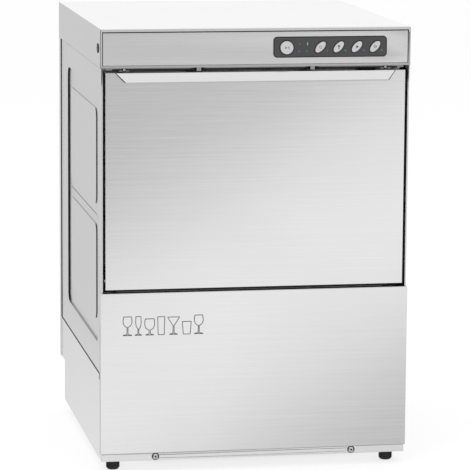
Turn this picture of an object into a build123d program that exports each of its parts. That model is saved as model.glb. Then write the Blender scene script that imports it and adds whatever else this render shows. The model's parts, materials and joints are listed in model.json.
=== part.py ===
"""Under-counter glass washer: casing, drop-down door, wash chamber, spray arms, pump, boiler and controls.

Frame: +Z up, front faces -Y, origin on the floor under the middle of the whole machine.
Every depth named *_d is measured back from the front plane of the casing.
"""
from build123d import *
import os
from math import sqrt

# ---- driving sizes, millimetres ----
body_w = 430.0          # width over the top cover
body_h = 598.0          # height of the casing without its feet
body_d = 465.0          # depth of the top cover
foot_h = 16.0           # floor to the underside of the base
sheet = 1.0             # casing sheet
tub_sheet = 1.2         # wash tub and base sheet
seam = 0.2              # gap between covers that lap over each other
gap = 0.3               # gap between pieces that move past each other
fit = 0.06              # radial running clearance of a shaft in its hole

cap_h = 53.0            # top cover skirt height
cap_edge = 4.0          # front face of the top sheet above the fascia
cap_post = 2.6          # width of the cover's front frame beside the fascia
cap_rail = 3.0          # height of the cover's front frame under the fascia
fascia_reveal = 1.1     # dark reveal round the fascia
fascia_fold = 9.0       # depth of the fascia's folded edges

rim_h = 10.0            # base rim that shows under the lower panel
base_h = 120.0          # height of the base frame
base_back = 54.0        # rear of the base frame to the rear of the machine
side_back = 23.0        # side panels' rear edges to the rear of the machine
side_seam = 1.5         # dark seam between side panel and base
panel_h = 225.3         # lower front panel height
panel_out = 4.0         # lower front panel stands proud of the front plane
panel_wrap = 10.0       # its side returns reach back over the casing
jamb_w = 2.0            # front strip of each side panel
jamb_fold = 14.0

door_gap = 3.7          # gap between lower panel and door
header_gap = 6.5        # gap between door and top cover
door_side = 7.0         # casing side to door edge
door_skin_d = 16.0      # depth of the outer skin's flanges
liner_rise = 14.0       # inner liner stands into the tub's mouth
lip_out = 12.0          # handle lip reach in front of the door
lip_drop = 12.0         # handle lip fall
lip_inset = 14.0        # door edge to the top end of the lip
lip_sheet = 1.2
hinge_up = 10.8         # hinge axis above the door's lower edge
hinge_d = 14.0          # hinge axis behind the front plane
pin_r = 3.0
lever_len = 9.0         # spring lever, back and down from the hinge axis

bead_depth = 3.0        # pressed groove in the side panels
bead_w = 27.0           # width of that groove
field_rise = 1.5        # inner fields stand up from the groove floor
bead_front = 34.0       # front plane to the groove
bead_back = 76.0        # groove to the side panel's rear edge
bead_below = 40.0       # side panel's lower edge to the groove
bead_above = 34.0       # groove to the top cover's skirt
bead_r = 14.0

tub_side = 26.0         # casing side to the tub's outer wall
tub_rear = 60.0         # tub's rear wall to the rear of the machine
tub_lift = 62.0         # tub floor above the base frame
tub_r = 16.0            # rounded vertical corners of the tub
mouth_edge = 12.0       # tub wall to the mouth opening
gasket_w = 8.0
gasket_t = 3.5

arm_clear = 14.0        # spray arm tips to the tub walls
arm_h = 12.0
arm_w = 26.0
journal_r = 12.0        # spindle journal that the arms turn on
rail_up = 74.0          # rack rail above the mouth's lower edge level
basket_clear = 12.0     # basket to the tub walls
basket_head = 72.0      # basket top to the upper arms

panel_plate_w = 158.7   # dark control plate
panel_plate_h = 28.7
panel_plate_right = 33.5
button_travel = 1.5
tongue_travel = 1.5
oval_pitch = 25.5
start_r = 8.9
oval_long = 18.2
oval_short = 9.4
oval_tilt = 47.0

foot_r = 9.4
foot_x_in = 20.7        # casing side to the foot's axis
foot_front_d = 27.0
foot_rear_in = 27.0     # rear feet to the rear of the base frame
stud_r = 4.0
stud_up = 10.0          # foot stud above the base's underside

inlet_r = 13.2          # G 3/4 male thread, outside
inlet_out = 24.0
drain_r = 14.0
drain_out = 30.0
rear_inset = 1.2        # rear cover set in from the top cover's skirt, so its screw heads stay inside

header_d = 7.0          # header rail and its latch leaves, behind the front plane
header_lift = 3.0       # dark slot between the door's top edge and the header rail
header_tab = 1.6        # tabs round the header screws reach down into that slot
door_bend = 2.4         # outside radius of the door skin's vertical folds
rear_cover_up = 59.5    # base's underside to the rear cover's lower edge
rear_wrap = 17.0        # rear cover's outer flanges, beside the side panels' rear edges
heater_x = 62.0         # half the width of the tank heater's loop
heater_up = 22.0        # heater above the tub floor
heater_r = 4.2
suction_x = -30.0       # pump suction under the tub
suction_d = 150.0
pump_x0 = 20.0          # pump chamber's inlet face
pump_up = 62.0          # pump axis above the base's underside
volute_r = 42.0
motor_r = 40.0
motor_len = 104.0
shaft_r = 5.0
boiler_in = 95.0        # casing side to the boiler's axis
boiler_up = 68.0        # boiler axis above the base's underside
boiler_r = 50.0
boiler_d0 = 140.0
boiler_back = 81.0      # boiler to the rear of the base frame
inlet_in = 95.0         # casing side to the water inlet
inlet_up = 28.0
drain_in = 30.0
drain_up = 26.0
gland_in = 40.0
gland_up = 28.0
wash_pipe_r = 9.0
suction_pipe_r = 14.0
hose_r = 13.0
rinse_pipe_r = 5.0
valve_pipe_r = 6.0

# ---- sizes worked out from those above ----
half_w = body_w / 2
front_y = -(body_d - lip_out) / 2
rim_z = foot_h
top_z = foot_h + body_h
cap_z = top_z - cap_h
base_top = rim_z + base_h
panel_z0 = rim_z + rim_h + 1.0
panel_z1 = panel_z0 + panel_h
door_z0 = panel_z1 + door_gap
door_z1 = cap_z - header_gap
door_x = half_w - door_side
hinge_z = door_z0 + hinge_up
side_x = half_w - sheet - seam          # outer face of the side panels
liner_back_d = door_skin_d + liner_rise
base_d = body_d - base_back
side_d = body_d - side_back
foot_rear_d = base_d - foot_rear_in
boiler_d1 = base_d - boiler_back

tub_front_d = liner_back_d + gasket_t + 0.5
tub_x = half_w - tub_side               # tub outer half width
tub_in_x = tub_x - tub_sheet
tub_back_d = body_d - tub_rear
tub_z0 = base_top + tub_lift
tub_z1 = cap_z - 4.0
mouth_x = tub_x - mouth_edge
mouth_z0 = hinge_z + 14.0
mouth_z1 = door_z1 - 14.0
tub_mid_d = (tub_front_d + tub_back_d) / 2
tub_half_d = (tub_back_d - tub_front_d) / 2 - tub_sheet
arm_reach = min(tub_in_x, tub_half_d) - arm_clear

filter_z = mouth_z0 - 16.0
lower_arm_z = filter_z + 22.0
rail_z = filter_z + rail_up - 8.0
upper_arm_z = tub_z1 - tub_sheet - 22.0
basket_z0 = rail_z + gap
basket_z1 = upper_arm_z - 36.0 - basket_head
basket_x = tub_in_x - basket_clear
basket_d0 = tub_front_d + basket_clear
basket_d1 = tub_back_d - tub_sheet - basket_clear + 2.0

plate_x1 = half_w - panel_plate_right
plate_x0 = plate_x1 - panel_plate_w
plate_z = (cap_z + cap_rail + top_z - cap_edge) / 2 + 0.3
catch_x = 0.1837 * body_w
plug_d = 23.3           # round plugs on the top cover's sides
plug_z = cap_z + cap_h / 2 - 1.0
plug_hole_r = 4.2

header_z0 = door_z1 + header_lift
header_z1 = cap_z - gap
post_x0 = tub_x + 10.0
post_x1 = side_x - bead_depth - sheet - 1.3
screw_x = 0.6442 * half_w               # screws in the base rim
header_screw_x = 0.8437 * half_w
rear_face_d = body_d - sheet - seam - rear_inset

standpipe_x = -(tub_in_x - 43)
standpipe_d = tub_front_d + 30
pump_z = rim_z + pump_up
motor_x0 = pump_x0 + 36
motor_x1 = motor_x0 + motor_len
boiler_x = -(half_w - boiler_in)
boiler_z = rim_z + boiler_up
inlet_x = half_w - inlet_in
inlet_z = rim_z + inlet_up
drain_x = -(half_w - drain_in)
drain_z = rim_z + drain_up
gland_x = half_w - gland_in
gland_z = rim_z + gland_up
riser_d = (tub_back_d + body_d) / 2 - 8
upper_pipe_z = top_z - 26


# ---- small helpers ----
def slab(x0, x1, d0, d1, z0, z1):
    """A box from its limits, with depths behind the front plane."""
    place = Pos((x0 + x1) / 2, front_y + (d0 + d1) / 2, (z0 + z1) / 2)
    return place * Box(x1 - x0, d1 - d0, z1 - z0)


def rod_x(x0, x1, d, z, r):
    return Pos((x0 + x1) / 2, front_y + d, z) * Rot(0, 90, 0) * Cylinder(r, x1 - x0)


def rod_y(x, d0, d1, z, r):
    return Pos(x, front_y + (d0 + d1) / 2, z) * Rot(90, 0, 0) * Cylinder(r, d1 - d0)


def rod_z(x, d, z0, z1, r):
    return Pos(x, front_y + d, (z0 + z1) / 2) * Cylinder(r, z1 - z0)


def soft_slab(x0, x1, d0, d1, z0, z1, r, axis):
    """A box with its four edges along one axis rounded."""
    block = slab(x0, x1, d0, d1, z0, z1)
    return fillet(block.edges().filter_by(axis), r)


def shell(outer, inner):
    return outer - inner


def both_sides(piece):
    """The piece and its mirror image, as separate solids of one group."""
    return Compound(children=[piece, mirror(piece, about=Plane.YZ)])


def group(pieces):
    return Compound(children=list(pieces))


def bent_rod(points, r, bend):
    """A round bar along straight runs joined by arcs. Points are (x, depth, z)."""
    path = FilletPolyline(*[(x, front_y + d, z) for x, d, z in points], radius=bend)
    start = Plane(origin=path @ 0, z_dir=path % 0)
    return sweep(start * Circle(r), path=path)


def bent_tube(points, r, wall, bend):
    return bent_rod(points, r, bend) - bent_rod(points, r - wall, bend)


def dome_screw(x, d, z, r, toward):
    """Pan head with a stem behind it; toward is -1 for a head facing the front and 1 for the rear."""
    head_h = 0.5 * r
    head = rod_y(x, min(d, d + toward * head_h), max(d, d + toward * head_h), z, r)
    outer_edges = head.edges().filter_by(GeomType.CIRCLE).sort_by(Axis.Y)
    head = fillet(outer_edges[0] if toward < 0 else outer_edges[-1], 0.8 * head_h)
    stem = rod_y(x, min(d, d - toward * 6.0), max(d, d - toward * 6.0), z, 0.4 * r)
    return head + stem


# ---- casing ----
def top_cover():
    roof = slab(-half_w, half_w, 0, body_d, cap_z, top_z)
    roof = fillet(roof.edges().filter_by(Axis.Z) + roof.faces().sort_by(Axis.Z)[-1].edges(), 1.2)
    roof -= slab(-half_w + sheet, half_w - sheet, sheet, body_d - sheet, cap_z - 1, top_z - sheet)
    window = slab(-half_w + cap_post, half_w - cap_post, -1, sheet + 1,
                  cap_z + cap_rail, top_z - cap_edge)
    roof -= window
    roof += slab(-half_w + sheet, half_w - sheet, sheet, 12, cap_z, cap_z + sheet)
    return roof - rod_x(-half_w - 1, half_w + 1, plug_d, plug_z, plug_hole_r)


def cap_side_plugs():
    head = rod_x(half_w, half_w + 0.9, plug_d, plug_z, 6.6)
    stem = rod_x(half_w - 4.0, half_w, plug_d, plug_z, plug_hole_r - 0.1)
    return both_sides(head + stem)


def control_fascia():
    x = half_w - cap_post - fascia_reveal
    z0 = cap_z + cap_rail + fascia_reveal
    z1 = top_z - cap_edge - fascia_reveal
    plate = slab(-x, x, 0.4, fascia_fold, z0, z1)
    plate = fillet(plate.faces().sort_by(Axis.Y)[0].edges(), 0.8)
    plate -= slab(-x + sheet, x - sheet, 0.4 + sheet, fascia_fold + 1, z0 + sheet, z1 - sheet)
    window = slab(plate_x0 + 4, plate_x1 - 4, -1, 3, plate_z - 11.5, plate_z + 11.5)
    return plate - window


def oval_places():
    first = plate_x0 + 65.3
    return [(first + k * oval_pitch, plate_z - 0.2) for k in range(4)]


def start_place():
    return plate_x0 + 18.4, plate_z - 0.6


def lamp_places():
    left = [(plate_x0 + 36.2, plate_z + 4.4), (plate_x0 + 47.2, plate_z + 4.4),
            (plate_x0 + 35.6, plate_z - 6.0), (plate_x0 + 46.4, plate_z - 5.6)]
    beside = [(x + 9.6, z - 5.2) for x, z in oval_places()]
    return left + beside


def oval_block(x, z, long, short, d0, d1):
    face = Plane(origin=(x, front_y + d1, z), x_dir=(1, 0, 0), z_dir=(0, -1, 0))
    return extrude(face * Rot(0, 0, oval_tilt) * Ellipse(long / 2, short / 2), amount=d1 - d0)


def control_panel_plate():
    plate = soft_slab(plate_x0, plate_x1, -0.9, 0.4, plate_z - panel_plate_h / 2,
                      plate_z + panel_plate_h / 2, 5.5, Axis.Y)
    x, z = start_place()
    plate -= rod_y(x, -2, 2, z, start_r + gap)
    for x, z in oval_places():
        plate -= oval_block(x, z, oval_long + 2 * gap, oval_short + 2 * gap, -2, 2)
    for x, z in lamp_places():
        plate -= rod_y(x, -2, 2, z, 1.6)
    return plate


def start_button():
    x, z = start_place()
    head = rod_y(x, -3.4, 0.6, z, start_r)
    head = fillet(head.edges().filter_by(GeomType.CIRCLE).sort_by(Axis.Y)[0], 1.0)
    collar = rod_y(x, 0.7, 2.1, z, start_r + 1.4)
    return head + rod_y(x, 0.6, 9.6, z, 3.0) + collar


def program_button(place):
    x, z = place
    head = oval_block(x, z, oval_long, oval_short, -2.9, 0.7)
    collar = oval_block(x, z, oval_long + 2.4, oval_short + 2.4, 0.7, 2.1)
    return head + collar + rod_y(x, 0.7, 9.6, z, 2.4)


def indicator_lenses():
    return group(rod_y(x, -1.2, 3.0, z, 1.5) for x, z in lamp_places())


def control_board():
    board = slab(plate_x0 - 3, plate_x1 + 3, 14, 15.6, cap_z + cap_rail + 5, top_z - cap_edge - 4)
    for x, z in oval_places() + [start_place()]:
        board += slab(x - 3, x + 3, 11.4, 14, z - 3, z + 3)
    for k in range(3):
        x = plate_x0 + 30 + 45 * k
        board += slab(x, x + 19, 15.6, 31, plate_z - 9, plate_z + 7)
    return board


def side_panel():
    top = top_z - sheet - 6.0
    z0 = base_top + side_seam
    panel = slab(side_x - sheet, side_x, 0, side_d, z0, top)
    panel += slab(side_x - jamb_w, side_x, 0, sheet, z0, cap_z - gap)
    panel += slab(side_x - jamb_w, side_x - jamb_w + sheet, 0, jamb_fold, z0, cap_z - gap)
    panel -= slab(side_x - 4, side_x + 1, -1, fascia_fold + 4, cap_z - gap, top + 1)
    panel -= rod_x(side_x - 2, side_x + 1, plug_d, plug_z, plug_hole_r)

    d0, d1 = bead_front, side_d - bead_back
    b0, b1 = z0 + bead_below, cap_z - bead_above
    mid = (b0 + b1) / 2
    x = side_x
    panel += soft_slab(x - bead_depth - sheet, x, d0, d1, b0, b1, bead_r, Axis.X)
    panel -= soft_slab(x - bead_depth, x + 1, d0 + sheet, d1 - sheet, b0 + sheet, b1 - sheet,
                       bead_r - sheet, Axis.X)
    fields = [(b0 + bead_w + sheet, mid - bead_w / 2), (mid + bead_w / 2, b1 - bead_w - sheet)]
    floor = x - bead_depth
    for f0, f1 in fields:
        e0, e1 = d0 + bead_w, d1 - bead_w
        panel += soft_slab(floor - sheet, floor + field_rise, e0, e1, f0, f1, bead_r / 2, Axis.X)
        panel -= soft_slab(floor - sheet - 1, floor + field_rise - sheet, e0 + sheet, e1 - sheet,
                           f0 + sheet, f1 - sheet, bead_r / 2 - sheet, Axis.X)
    return panel


def base_frame():
    x = half_w - sheet
    wall = tub_sheet
    base = shell(slab(-x, x, 0, base_d, rim_z, base_top),
                 slab(-x + wall, x - wall, wall, base_d - wall, rim_z + wall, base_top + 1))
    base -= slab(-x + wall, x - wall, -1, wall + 1, rim_z + rim_h, base_top + 1)
    base -= slab(-x + 60, x - 60, 60, base_d - 60, rim_z - 1, rim_z + wall + 1)
    for sx in (-1, 1):
        ledge = post_x1 + gap
        base += slab(min(sx * x, sx * ledge), max(sx * x, sx * ledge),
                     panel_wrap + 2, base_d, base_top - wall, base_top)
        for d in (foot_front_d, foot_rear_d):
            fx = sx * (half_w - foot_x_in)
            base += rod_z(fx, d, rim_z, rim_z + 7, 8)
            base -= rod_z(fx, d, rim_z - 1, rim_z + 8, stud_r + fit)
    base -= rod_y(inlet_x, base_d - 3, base_d + 1, inlet_z, inlet_r - 2)
    base -= rod_y(drain_x, base_d - 3, base_d + 1, drain_z, drain_r - 2)
    base -= rod_y(gland_x, base_d - 3, base_d + 1, gland_z, 8)
    for sx in (-1, 1):
        base -= rod_y(sx * screw_x, -1, wall + 1, rim_z + 5.5, 2.1)
    return base


def lower_front_panel():
    x = half_w
    t = sheet
    panel = slab(-x, x, -panel_out, panel_wrap, panel_z0, panel_z1)
    panel = fillet(panel.edges().filter_by(Axis.Z).sort_by(Axis.Y)[:2], 2.2)
    panel = fillet(panel.faces().sort_by(Axis.Y)[0].edges().filter_by(Axis.X), 1.4)
    panel -= slab(-x + t, x - t, t - panel_out, panel_wrap + 1, panel_z0 + t, panel_z1 - t)
    panel -= slab(-x + t, x - t, -gap, panel_wrap + 1, panel_z1 - t - 1, panel_z1 + 1)
    panel -= slab(-x + t, x - t, -gap, panel_wrap + 1, panel_z0 - 1, panel_z0 + t + 1)
    notch = slab(x - t - 1, x + 1, panel_wrap - 1.6, panel_wrap + 1, base_top - 6, base_top + side_seam)
    return panel - notch - mirror(notch, about=Plane.YZ)


def rear_cover():
    x = side_x - sheet - 0.3
    d0, d1 = base_d + gap, rear_face_d
    z0, z1 = rim_z + rear_cover_up, cap_z + 24
    cover = shell(slab(-x, x, d0, d1, z0, z1),
                  slab(-x + sheet, x - sheet, d0 - 1, d1 - sheet, z0 + sheet, z1 + 1))
    for sx in (-1, 1):
        outer = half_w - seam
        a, b = sx * (x - sheet), sx * outer
        cover += slab(min(a, b), max(a, b), d1 - sheet, d1, z0, cap_z - gap)
        a = sx * (outer - sheet)
        cover += slab(min(a, b), max(a, b), d1 - rear_wrap, d1, z0, cap_z - gap)
    for k in range(9):
        z = z0 + 60 + 11 * k
        for sx in (-1, 1):
            cover -= slab(sx * 95 - 45, sx * 95 + 45, d1 - 3, d1 + 1, z, z + 4)
    for sx in (-1, 1):
        for z in rear_screw_heights():
            cover -= rod_y(sx * (x - 14), d1 - 3, d1 + 1, z, 1.9)
    return cover


def rear_screw_heights():
    z0, z1 = rim_z + rear_cover_up, cap_z - 20
    return [z0 + 16, (z0 + z1) / 2, z1 - 12]


def cover_screws():
    rear_x = side_x - sheet - 0.3 - 14
    screws = [dome_screw(sx * screw_x, 0, rim_z + 5.5, 4.5, -1) for sx in (-1, 1)]
    screws += [dome_screw(sx * header_screw_x, header_d, header_z0 + 0.8, 2.3, -1) for sx in (-1, 1)]
    for z in rear_screw_heights():
        screws += [dome_screw(sx * rear_x, rear_face_d, z, 4.0, 1) for sx in (-1, 1)]
    return group(screws)


def foot(sx, d):
    x = sx * (half_w - foot_x_in)
    pad = rod_z(x, d, 0, foot_h - gap, foot_r)
    pad = chamfer(pad.edges().filter_by(GeomType.CIRCLE).sort_by(Axis.Z)[0], 2.4)
    return pad + rod_z(x, d, foot_h - gap, foot_h + stud_up, stud_r)


# ---- front structure ----
def header_rail():
    x = half_w - 8.0
    rail = slab(-x, x, header_d, header_d + sheet, header_z0, header_z1)
    rail += slab(-x, x, header_d, tub_front_d, header_z1 - sheet, header_z1)
    for sx in (-1, 1):
        tab_x = sx * header_screw_x
        rail += slab(tab_x - 7, tab_x + 7, header_d, header_d + sheet, header_z0 - header_tab, header_z1)
    for sx in (-1, 1):
        rail -= slab(sx * catch_x - 10.4, sx * catch_x + 10.4, header_d - 1, header_d + 12,
                     header_z0 - 1, header_z1 - sheet)
        rail -= slab(sx * catch_x - 3.6, sx * catch_x + 3.6, header_d - 2.8, header_d + 2.8,
                     header_z0 - 1, header_z1 + 1)
        rail -= rod_y(sx * header_screw_x, header_d - 1, header_d + 2, header_z0 + 0.8, 1.0)
    return rail


def door_catch_housings():
    z0, z1 = door_z1 + 0.8, header_z1 - sheet - 0.1
    body = slab(catch_x - 10, catch_x + 10, header_d + 3.0, header_d + 16, z0, z1)
    return both_sides(body)


def catch_tongue(sx):
    x = sx * catch_x
    d = header_d - 1.2
    leaf = slab(x - 3.2, x + 3.2, d, d + 1.2, door_z1 + 1.0, header_z1 - 0.1)
    toe = 3.9 - tongue_travel
    return leaf + slab(x - 3.2, x + 3.2, d, d + toe, door_z1 + 1.0, door_z1 + 1.8)


def front_posts():
    lean = slab(post_x0, post_x1, tub_front_d, tub_front_d + tub_sheet, rim_z + tub_sheet, header_z1 - sheet)
    web = slab(post_x0, post_x0 + tub_sheet, tub_front_d, tub_front_d + 14,
               rim_z + tub_sheet, header_z1 - sheet)
    return both_sides(lean + web)


def hinge_brackets():
    x0 = door_x + 1.2
    x1 = side_x - jamb_w - 0.4
    z0, z1 = hinge_z - 42, hinge_z + 12
    ear = slab(x0, x1, 4, tub_front_d - 0.1, z0, z1)
    ear += slab(post_x0, x1, tub_front_d - 1.3, tub_front_d - 0.1, z0, z0 + 16)
    ear -= rod_x(x0 - 1, x1 + 1, hinge_d, hinge_z, pin_r)
    return both_sides(ear)


def hinge_pins():
    pin = rod_x(door_x - 9, side_x - jamb_w - 0.4, hinge_d, hinge_z, pin_r)
    return both_sides(pin)


def hinge_arms():
    x0, x1 = door_x - 7, door_x - 4
    arm = slab(x0, x1, 4, door_skin_d - sheet, hinge_z - 6, hinge_z + 90)
    arm += rod_x(x0, x1, hinge_d, hinge_z, 8)
    reach = lever_len + 3.5
    arm += soft_slab(x0, x1, hinge_d - 4, hinge_d + reach, hinge_z - reach, hinge_z, 3.4, Axis.X)
    arm -= rod_x(x0 - 1, x1 + 1, hinge_d, hinge_z, pin_r + fit)
    arm -= rod_x(x0 - 1, x1 + 1, hinge_d + lever_len, hinge_z - lever_len, 1.4)
    return both_sides(arm)


def door_springs():
    x = door_x - 5.5
    d = hinge_d + lever_len
    top = hinge_z - lever_len - 5
    coil = rod_z(x, d, top - 76, top - 6, 4.6) - rod_z(x, d, top - 77, top - 5, 3.2)
    hook = rod_z(x, d, top - 6.4, top + 1.0, 0.9)
    hook += slab(x - 4.2, x + 4.2, d - 0.9, d + 0.9, top - 7, top - 5.2)
    tail = rod_z(x, d, top - 96, top - 75.5, 0.9)
    tail += slab(x - 4.2, x + 4.2, d - 0.9, d + 0.9, top - 77, top - 75.2)
    return both_sides(coil + hook + tail)


def door_switch():
    z1 = header_z1 - sheet - 0.1
    return slab(150, 170, door_skin_d + 2.0, tub_front_d - 1, z1 - 9.5, z1) + \
        slab(156, 158, door_skin_d + 0.7, door_skin_d + 2.0, z1 - 7, z1 - 4)


def jamb_buffers():
    x1 = side_x - jamb_w
    z = hinge_z + 83
    return both_sides(soft_slab(x1 - 2.6, x1, 3, 11, z - 4.5, z + 4.5, 1.2, Axis.X))


# ---- door ----
def door_outer_skin():
    x, z0, z1 = door_x, door_z0, door_z1
    skin = slab(-x, x, 0, door_skin_d, z0, z1)
    skin = fillet(skin.edges().filter_by(Axis.Z).sort_by(Axis.Y)[:2], door_bend)
    skin -= slab(-x + sheet, x - sheet, sheet, door_skin_d + 1, z0 + sheet, z1 - sheet)
    for sx in (-1, 1):
        skin -= rod_x(min(sx * (x - 2), sx * (x + 1)), max(sx * (x - 2), sx * (x + 1)),
                      hinge_d, hinge_z, pin_r + 0.4)
        skin -= slab(min(sx * (x - 9), sx * (x - 2)), max(sx * (x - 9), sx * (x - 2)),
                     6, door_skin_d + 1, z0 - 1, z0 + sheet + 1)
    return skin + handle_lip()


def handle_lip():
    """Sheet folded forward and down from the door's top edge, with mitred ends."""
    top, low = door_z1, door_z1 - lip_drop
    wide, narrow = door_x - lip_inset, door_x - lip_inset - lip_drop
    t = lip_sheet * sqrt(2)
    side = Plane(origin=(-wide, front_y, 0), x_dir=(0, 1, 0), z_dir=(1, 0, 0))
    outline = make_face(Polyline((sheet / 2, top), (0, top), (-lip_out, low), (-lip_out, low - t),
                                 (sheet / 2, top - t + sheet / 2), close=True))
    lip = extrude(side * outline, amount=2 * wide)
    for sx in (-1, 1):
        wedge = Polyline((sx * wide, top + 1), (sx * wide, top), (sx * narrow, low), (sx * narrow, low - 9),
                         (sx * (wide + 9), low - 9), (sx * (wide + 9), top + 1), close=True)
        face = Plane(origin=(0, front_y - lip_out - 2, 0), x_dir=(1, 0, 0), z_dir=(0, -1, 0))
        lip -= extrude(face * make_face(wedge), amount=-(lip_out + 1.9))
    return lip


def door_inner_liner():
    x = door_x - sheet - 0.1
    z0, z1 = door_z0 + sheet + 0.1, door_z1 - sheet - 0.1
    d = door_skin_d
    liner = slab(-x, x, d - sheet, d, z0, z1)
    rx = tub_x + 1.0
    r0, r1 = hinge_z - 2, door_z1 - 8
    liner += soft_slab(-rx, rx, d - sheet, liner_back_d, r0, r1, 10, Axis.Y)
    liner -= soft_slab(-rx + sheet, rx - sheet, d - sheet - 1, liner_back_d - sheet,
                       r0 + sheet, r1 - sheet, 9, Axis.Y)
    for sx in (-1, 1):
        a, b = sx * (door_x - 9.5), sx * door_x
        liner -= slab(min(a, b), max(a, b), d - 2, d + 1, z0 - 1, hinge_z + 12)
    return liner


def door_gasket():
    x = mouth_x
    outer = soft_slab(-x - gasket_w, x + gasket_w, tub_front_d - gasket_t, tub_front_d,
                      mouth_z0 - gasket_w - 1, mouth_z1 + gasket_w, 14, Axis.Y)
    inner = soft_slab(-x, x, tub_front_d - gasket_t - 1, tub_front_d + 1, mouth_z0 - 1, mouth_z1, 8, Axis.Y)
    return outer - inner


# ---- wash chamber ----
def wash_tub():
    t = tub_sheet
    tub = soft_slab(-tub_x, tub_x, tub_front_d, tub_back_d, tub_z0, tub_z1, tub_r, Axis.Z)
    front = slab(-tub_x, tub_x, tub_front_d, tub_front_d + tub_r + 1, tub_z0, tub_z1)
    tub += front
    tub -= soft_slab(-tub_in_x, tub_in_x, tub_front_d + t, tub_back_d - t, tub_z0 + t, tub_z1 - t,
                     tub_r - t, Axis.Z)
    tub += slab(-post_x0 + 0.1, post_x0 - 0.1, tub_front_d, tub_front_d + t, mouth_z0 - 26, tub_z1)
    tub -= soft_slab(-mouth_x, mouth_x, tub_front_d - 1, tub_front_d + t + 0.001,
                     mouth_z0, mouth_z1, 8, Axis.Y)
    for sx in (-1, 1):
        a, b = sx * tub_in_x, sx * (tub_in_x - 8)
        tub += slab(min(a, b), max(a, b), tub_front_d + 30, tub_back_d - 30, filter_z - 1.5, filter_z - 0.1)
    tub -= rod_z(standpipe_x, standpipe_d, tub_z0 - 1, tub_z0 + t + 1, 11)
    tub -= rod_z(suction_x, suction_d, tub_z0 - 1, tub_z0 + t + 1, 14)
    tub -= rod_z(0, tub_mid_d, tub_z0 - 1, tub_z0 + t + 1, 9)
    tub -= rod_z(0, tub_mid_d, tub_z1 - t - 1, tub_z1 + 1, 9)
    for x in (-heater_x, heater_x):
        tub -= rod_y(x, tub_back_d - t - 1, tub_back_d + 1, tub_z0 + heater_up, heater_r + 0.1)
    return tub


def rack_rails():
    t = tub_sheet
    d0, d1 = tub_front_d + 22, tub_back_d - 22
    x1 = tub_in_x - 0.1
    ledge = slab(x1 - 26, x1, d0, d1, rail_z - t, rail_z)
    wall = slab(x1 - t, x1, d0, d1, rail_z - 14, rail_z)
    lip = slab(x1 - 26, x1 - 26 + t, d0, d1, rail_z - 8, rail_z)
    return both_sides(ledge + wall + lip)


def tank_filter():
    x = tub_in_x - 1.5
    d0, d1 = tub_front_d + tub_r + 4, tub_back_d - tub_r - 4
    plate = slab(-x, x, d0, d1, filter_z, filter_z + 1.0)
    columns, rows = 9, 11
    for i in range(columns):
        for j in range(rows):
            px = -x + (i + 0.5) * 2 * x / columns
            pd = d0 + (j + 0.5) * (d1 - d0) / rows
            near_hub = abs(px) < 30 and abs(pd - tub_mid_d) < 36
            near_pipe = abs(px - standpipe_x) < 36 and abs(pd - standpipe_d) < 30
            if not near_hub and not near_pipe:
                plate -= slab(px - 12, px + 12, pd - 4, pd + 4, filter_z - 1, filter_z + 2)
    plate -= rod_z(0, tub_mid_d, filter_z - 1, filter_z + 2, 17)
    plate -= rod_z(standpipe_x, standpipe_d, filter_z - 1, filter_z + 2, 13.5)
    return plate


def standpipe():
    x, d = standpipe_x, standpipe_d
    z0 = tub_z0 + tub_sheet + gap
    top = filter_z + 10
    pipe = rod_z(x, d, z0, top, 12) - rod_z(x, d, z0 - 1, top - 6, 10)
    pipe -= rod_x(x - 13, x + 13, d, top - 16, 4)
    return fillet(pipe.edges().filter_by(GeomType.CIRCLE).sort_by(Axis.Z)[-1], 3)


def arm_spindles():
    """Two spindles on the tub's axis: the lower stands on the floor, the upper hangs from the ceiling."""
    d = tub_mid_d
    floor = tub_z0 + tub_sheet
    shoulder = lower_arm_z - gap
    top = lower_arm_z + arm_h + gap + 10 + gap
    low = rod_z(0, d, floor, floor + 5, 26) + rod_z(0, d, floor, shoulder, 15)
    low += rod_z(0, d, shoulder, top, journal_r) + rod_z(0, d, top, top + 7, 15)
    low -= rod_z(0, d, floor - 1, top - 6, 8)
    ceiling = tub_z1 - tub_sheet
    shoulder = upper_arm_z + arm_h + gap
    bottom = upper_arm_z - gap - 10 - gap
    high = rod_z(0, d, ceiling - 4, ceiling, 26) + rod_z(0, d, shoulder, ceiling, 15)
    high += rod_z(0, d, bottom, shoulder, journal_r) + rod_z(0, d, bottom - 7, bottom, 15)
    high -= rod_z(0, d, bottom + 6, ceiling + 1, 8)
    return group([low, high])


def wash_arm(z, jets_up):
    """Flat hollow arm with a hub; its slotted jets face the glasses."""
    d = tub_mid_d
    hub_r = journal_r + 6
    arm = soft_slab(-arm_reach, arm_reach, d - arm_w / 2, d + arm_w / 2,
                    z, z + arm_h, arm_w / 2 - 0.5, Axis.Z)
    arm -= soft_slab(-arm_reach + 1.2, arm_reach - 1.2, d - arm_w / 2 + 1.2, d + arm_w / 2 - 1.2,
                     z + 1.2, z + arm_h - 1.2, arm_w / 2 - 1.8, Axis.Z)
    arm += rod_z(0, d, z, z + arm_h, hub_r)
    jet_z = z + arm_h if jets_up else z
    for k in range(5):
        for sx in (-1, 1):
            x = sx * (34 + k * (arm_reach - 52) / 4)
            arm -= slab(x - 1.5, x + 1.5, d - 7, d + 7, jet_z - 2, jet_z + 2)
    return arm - rod_z(0, d, z - 1, z + arm_h + 1, journal_r + fit)


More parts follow.
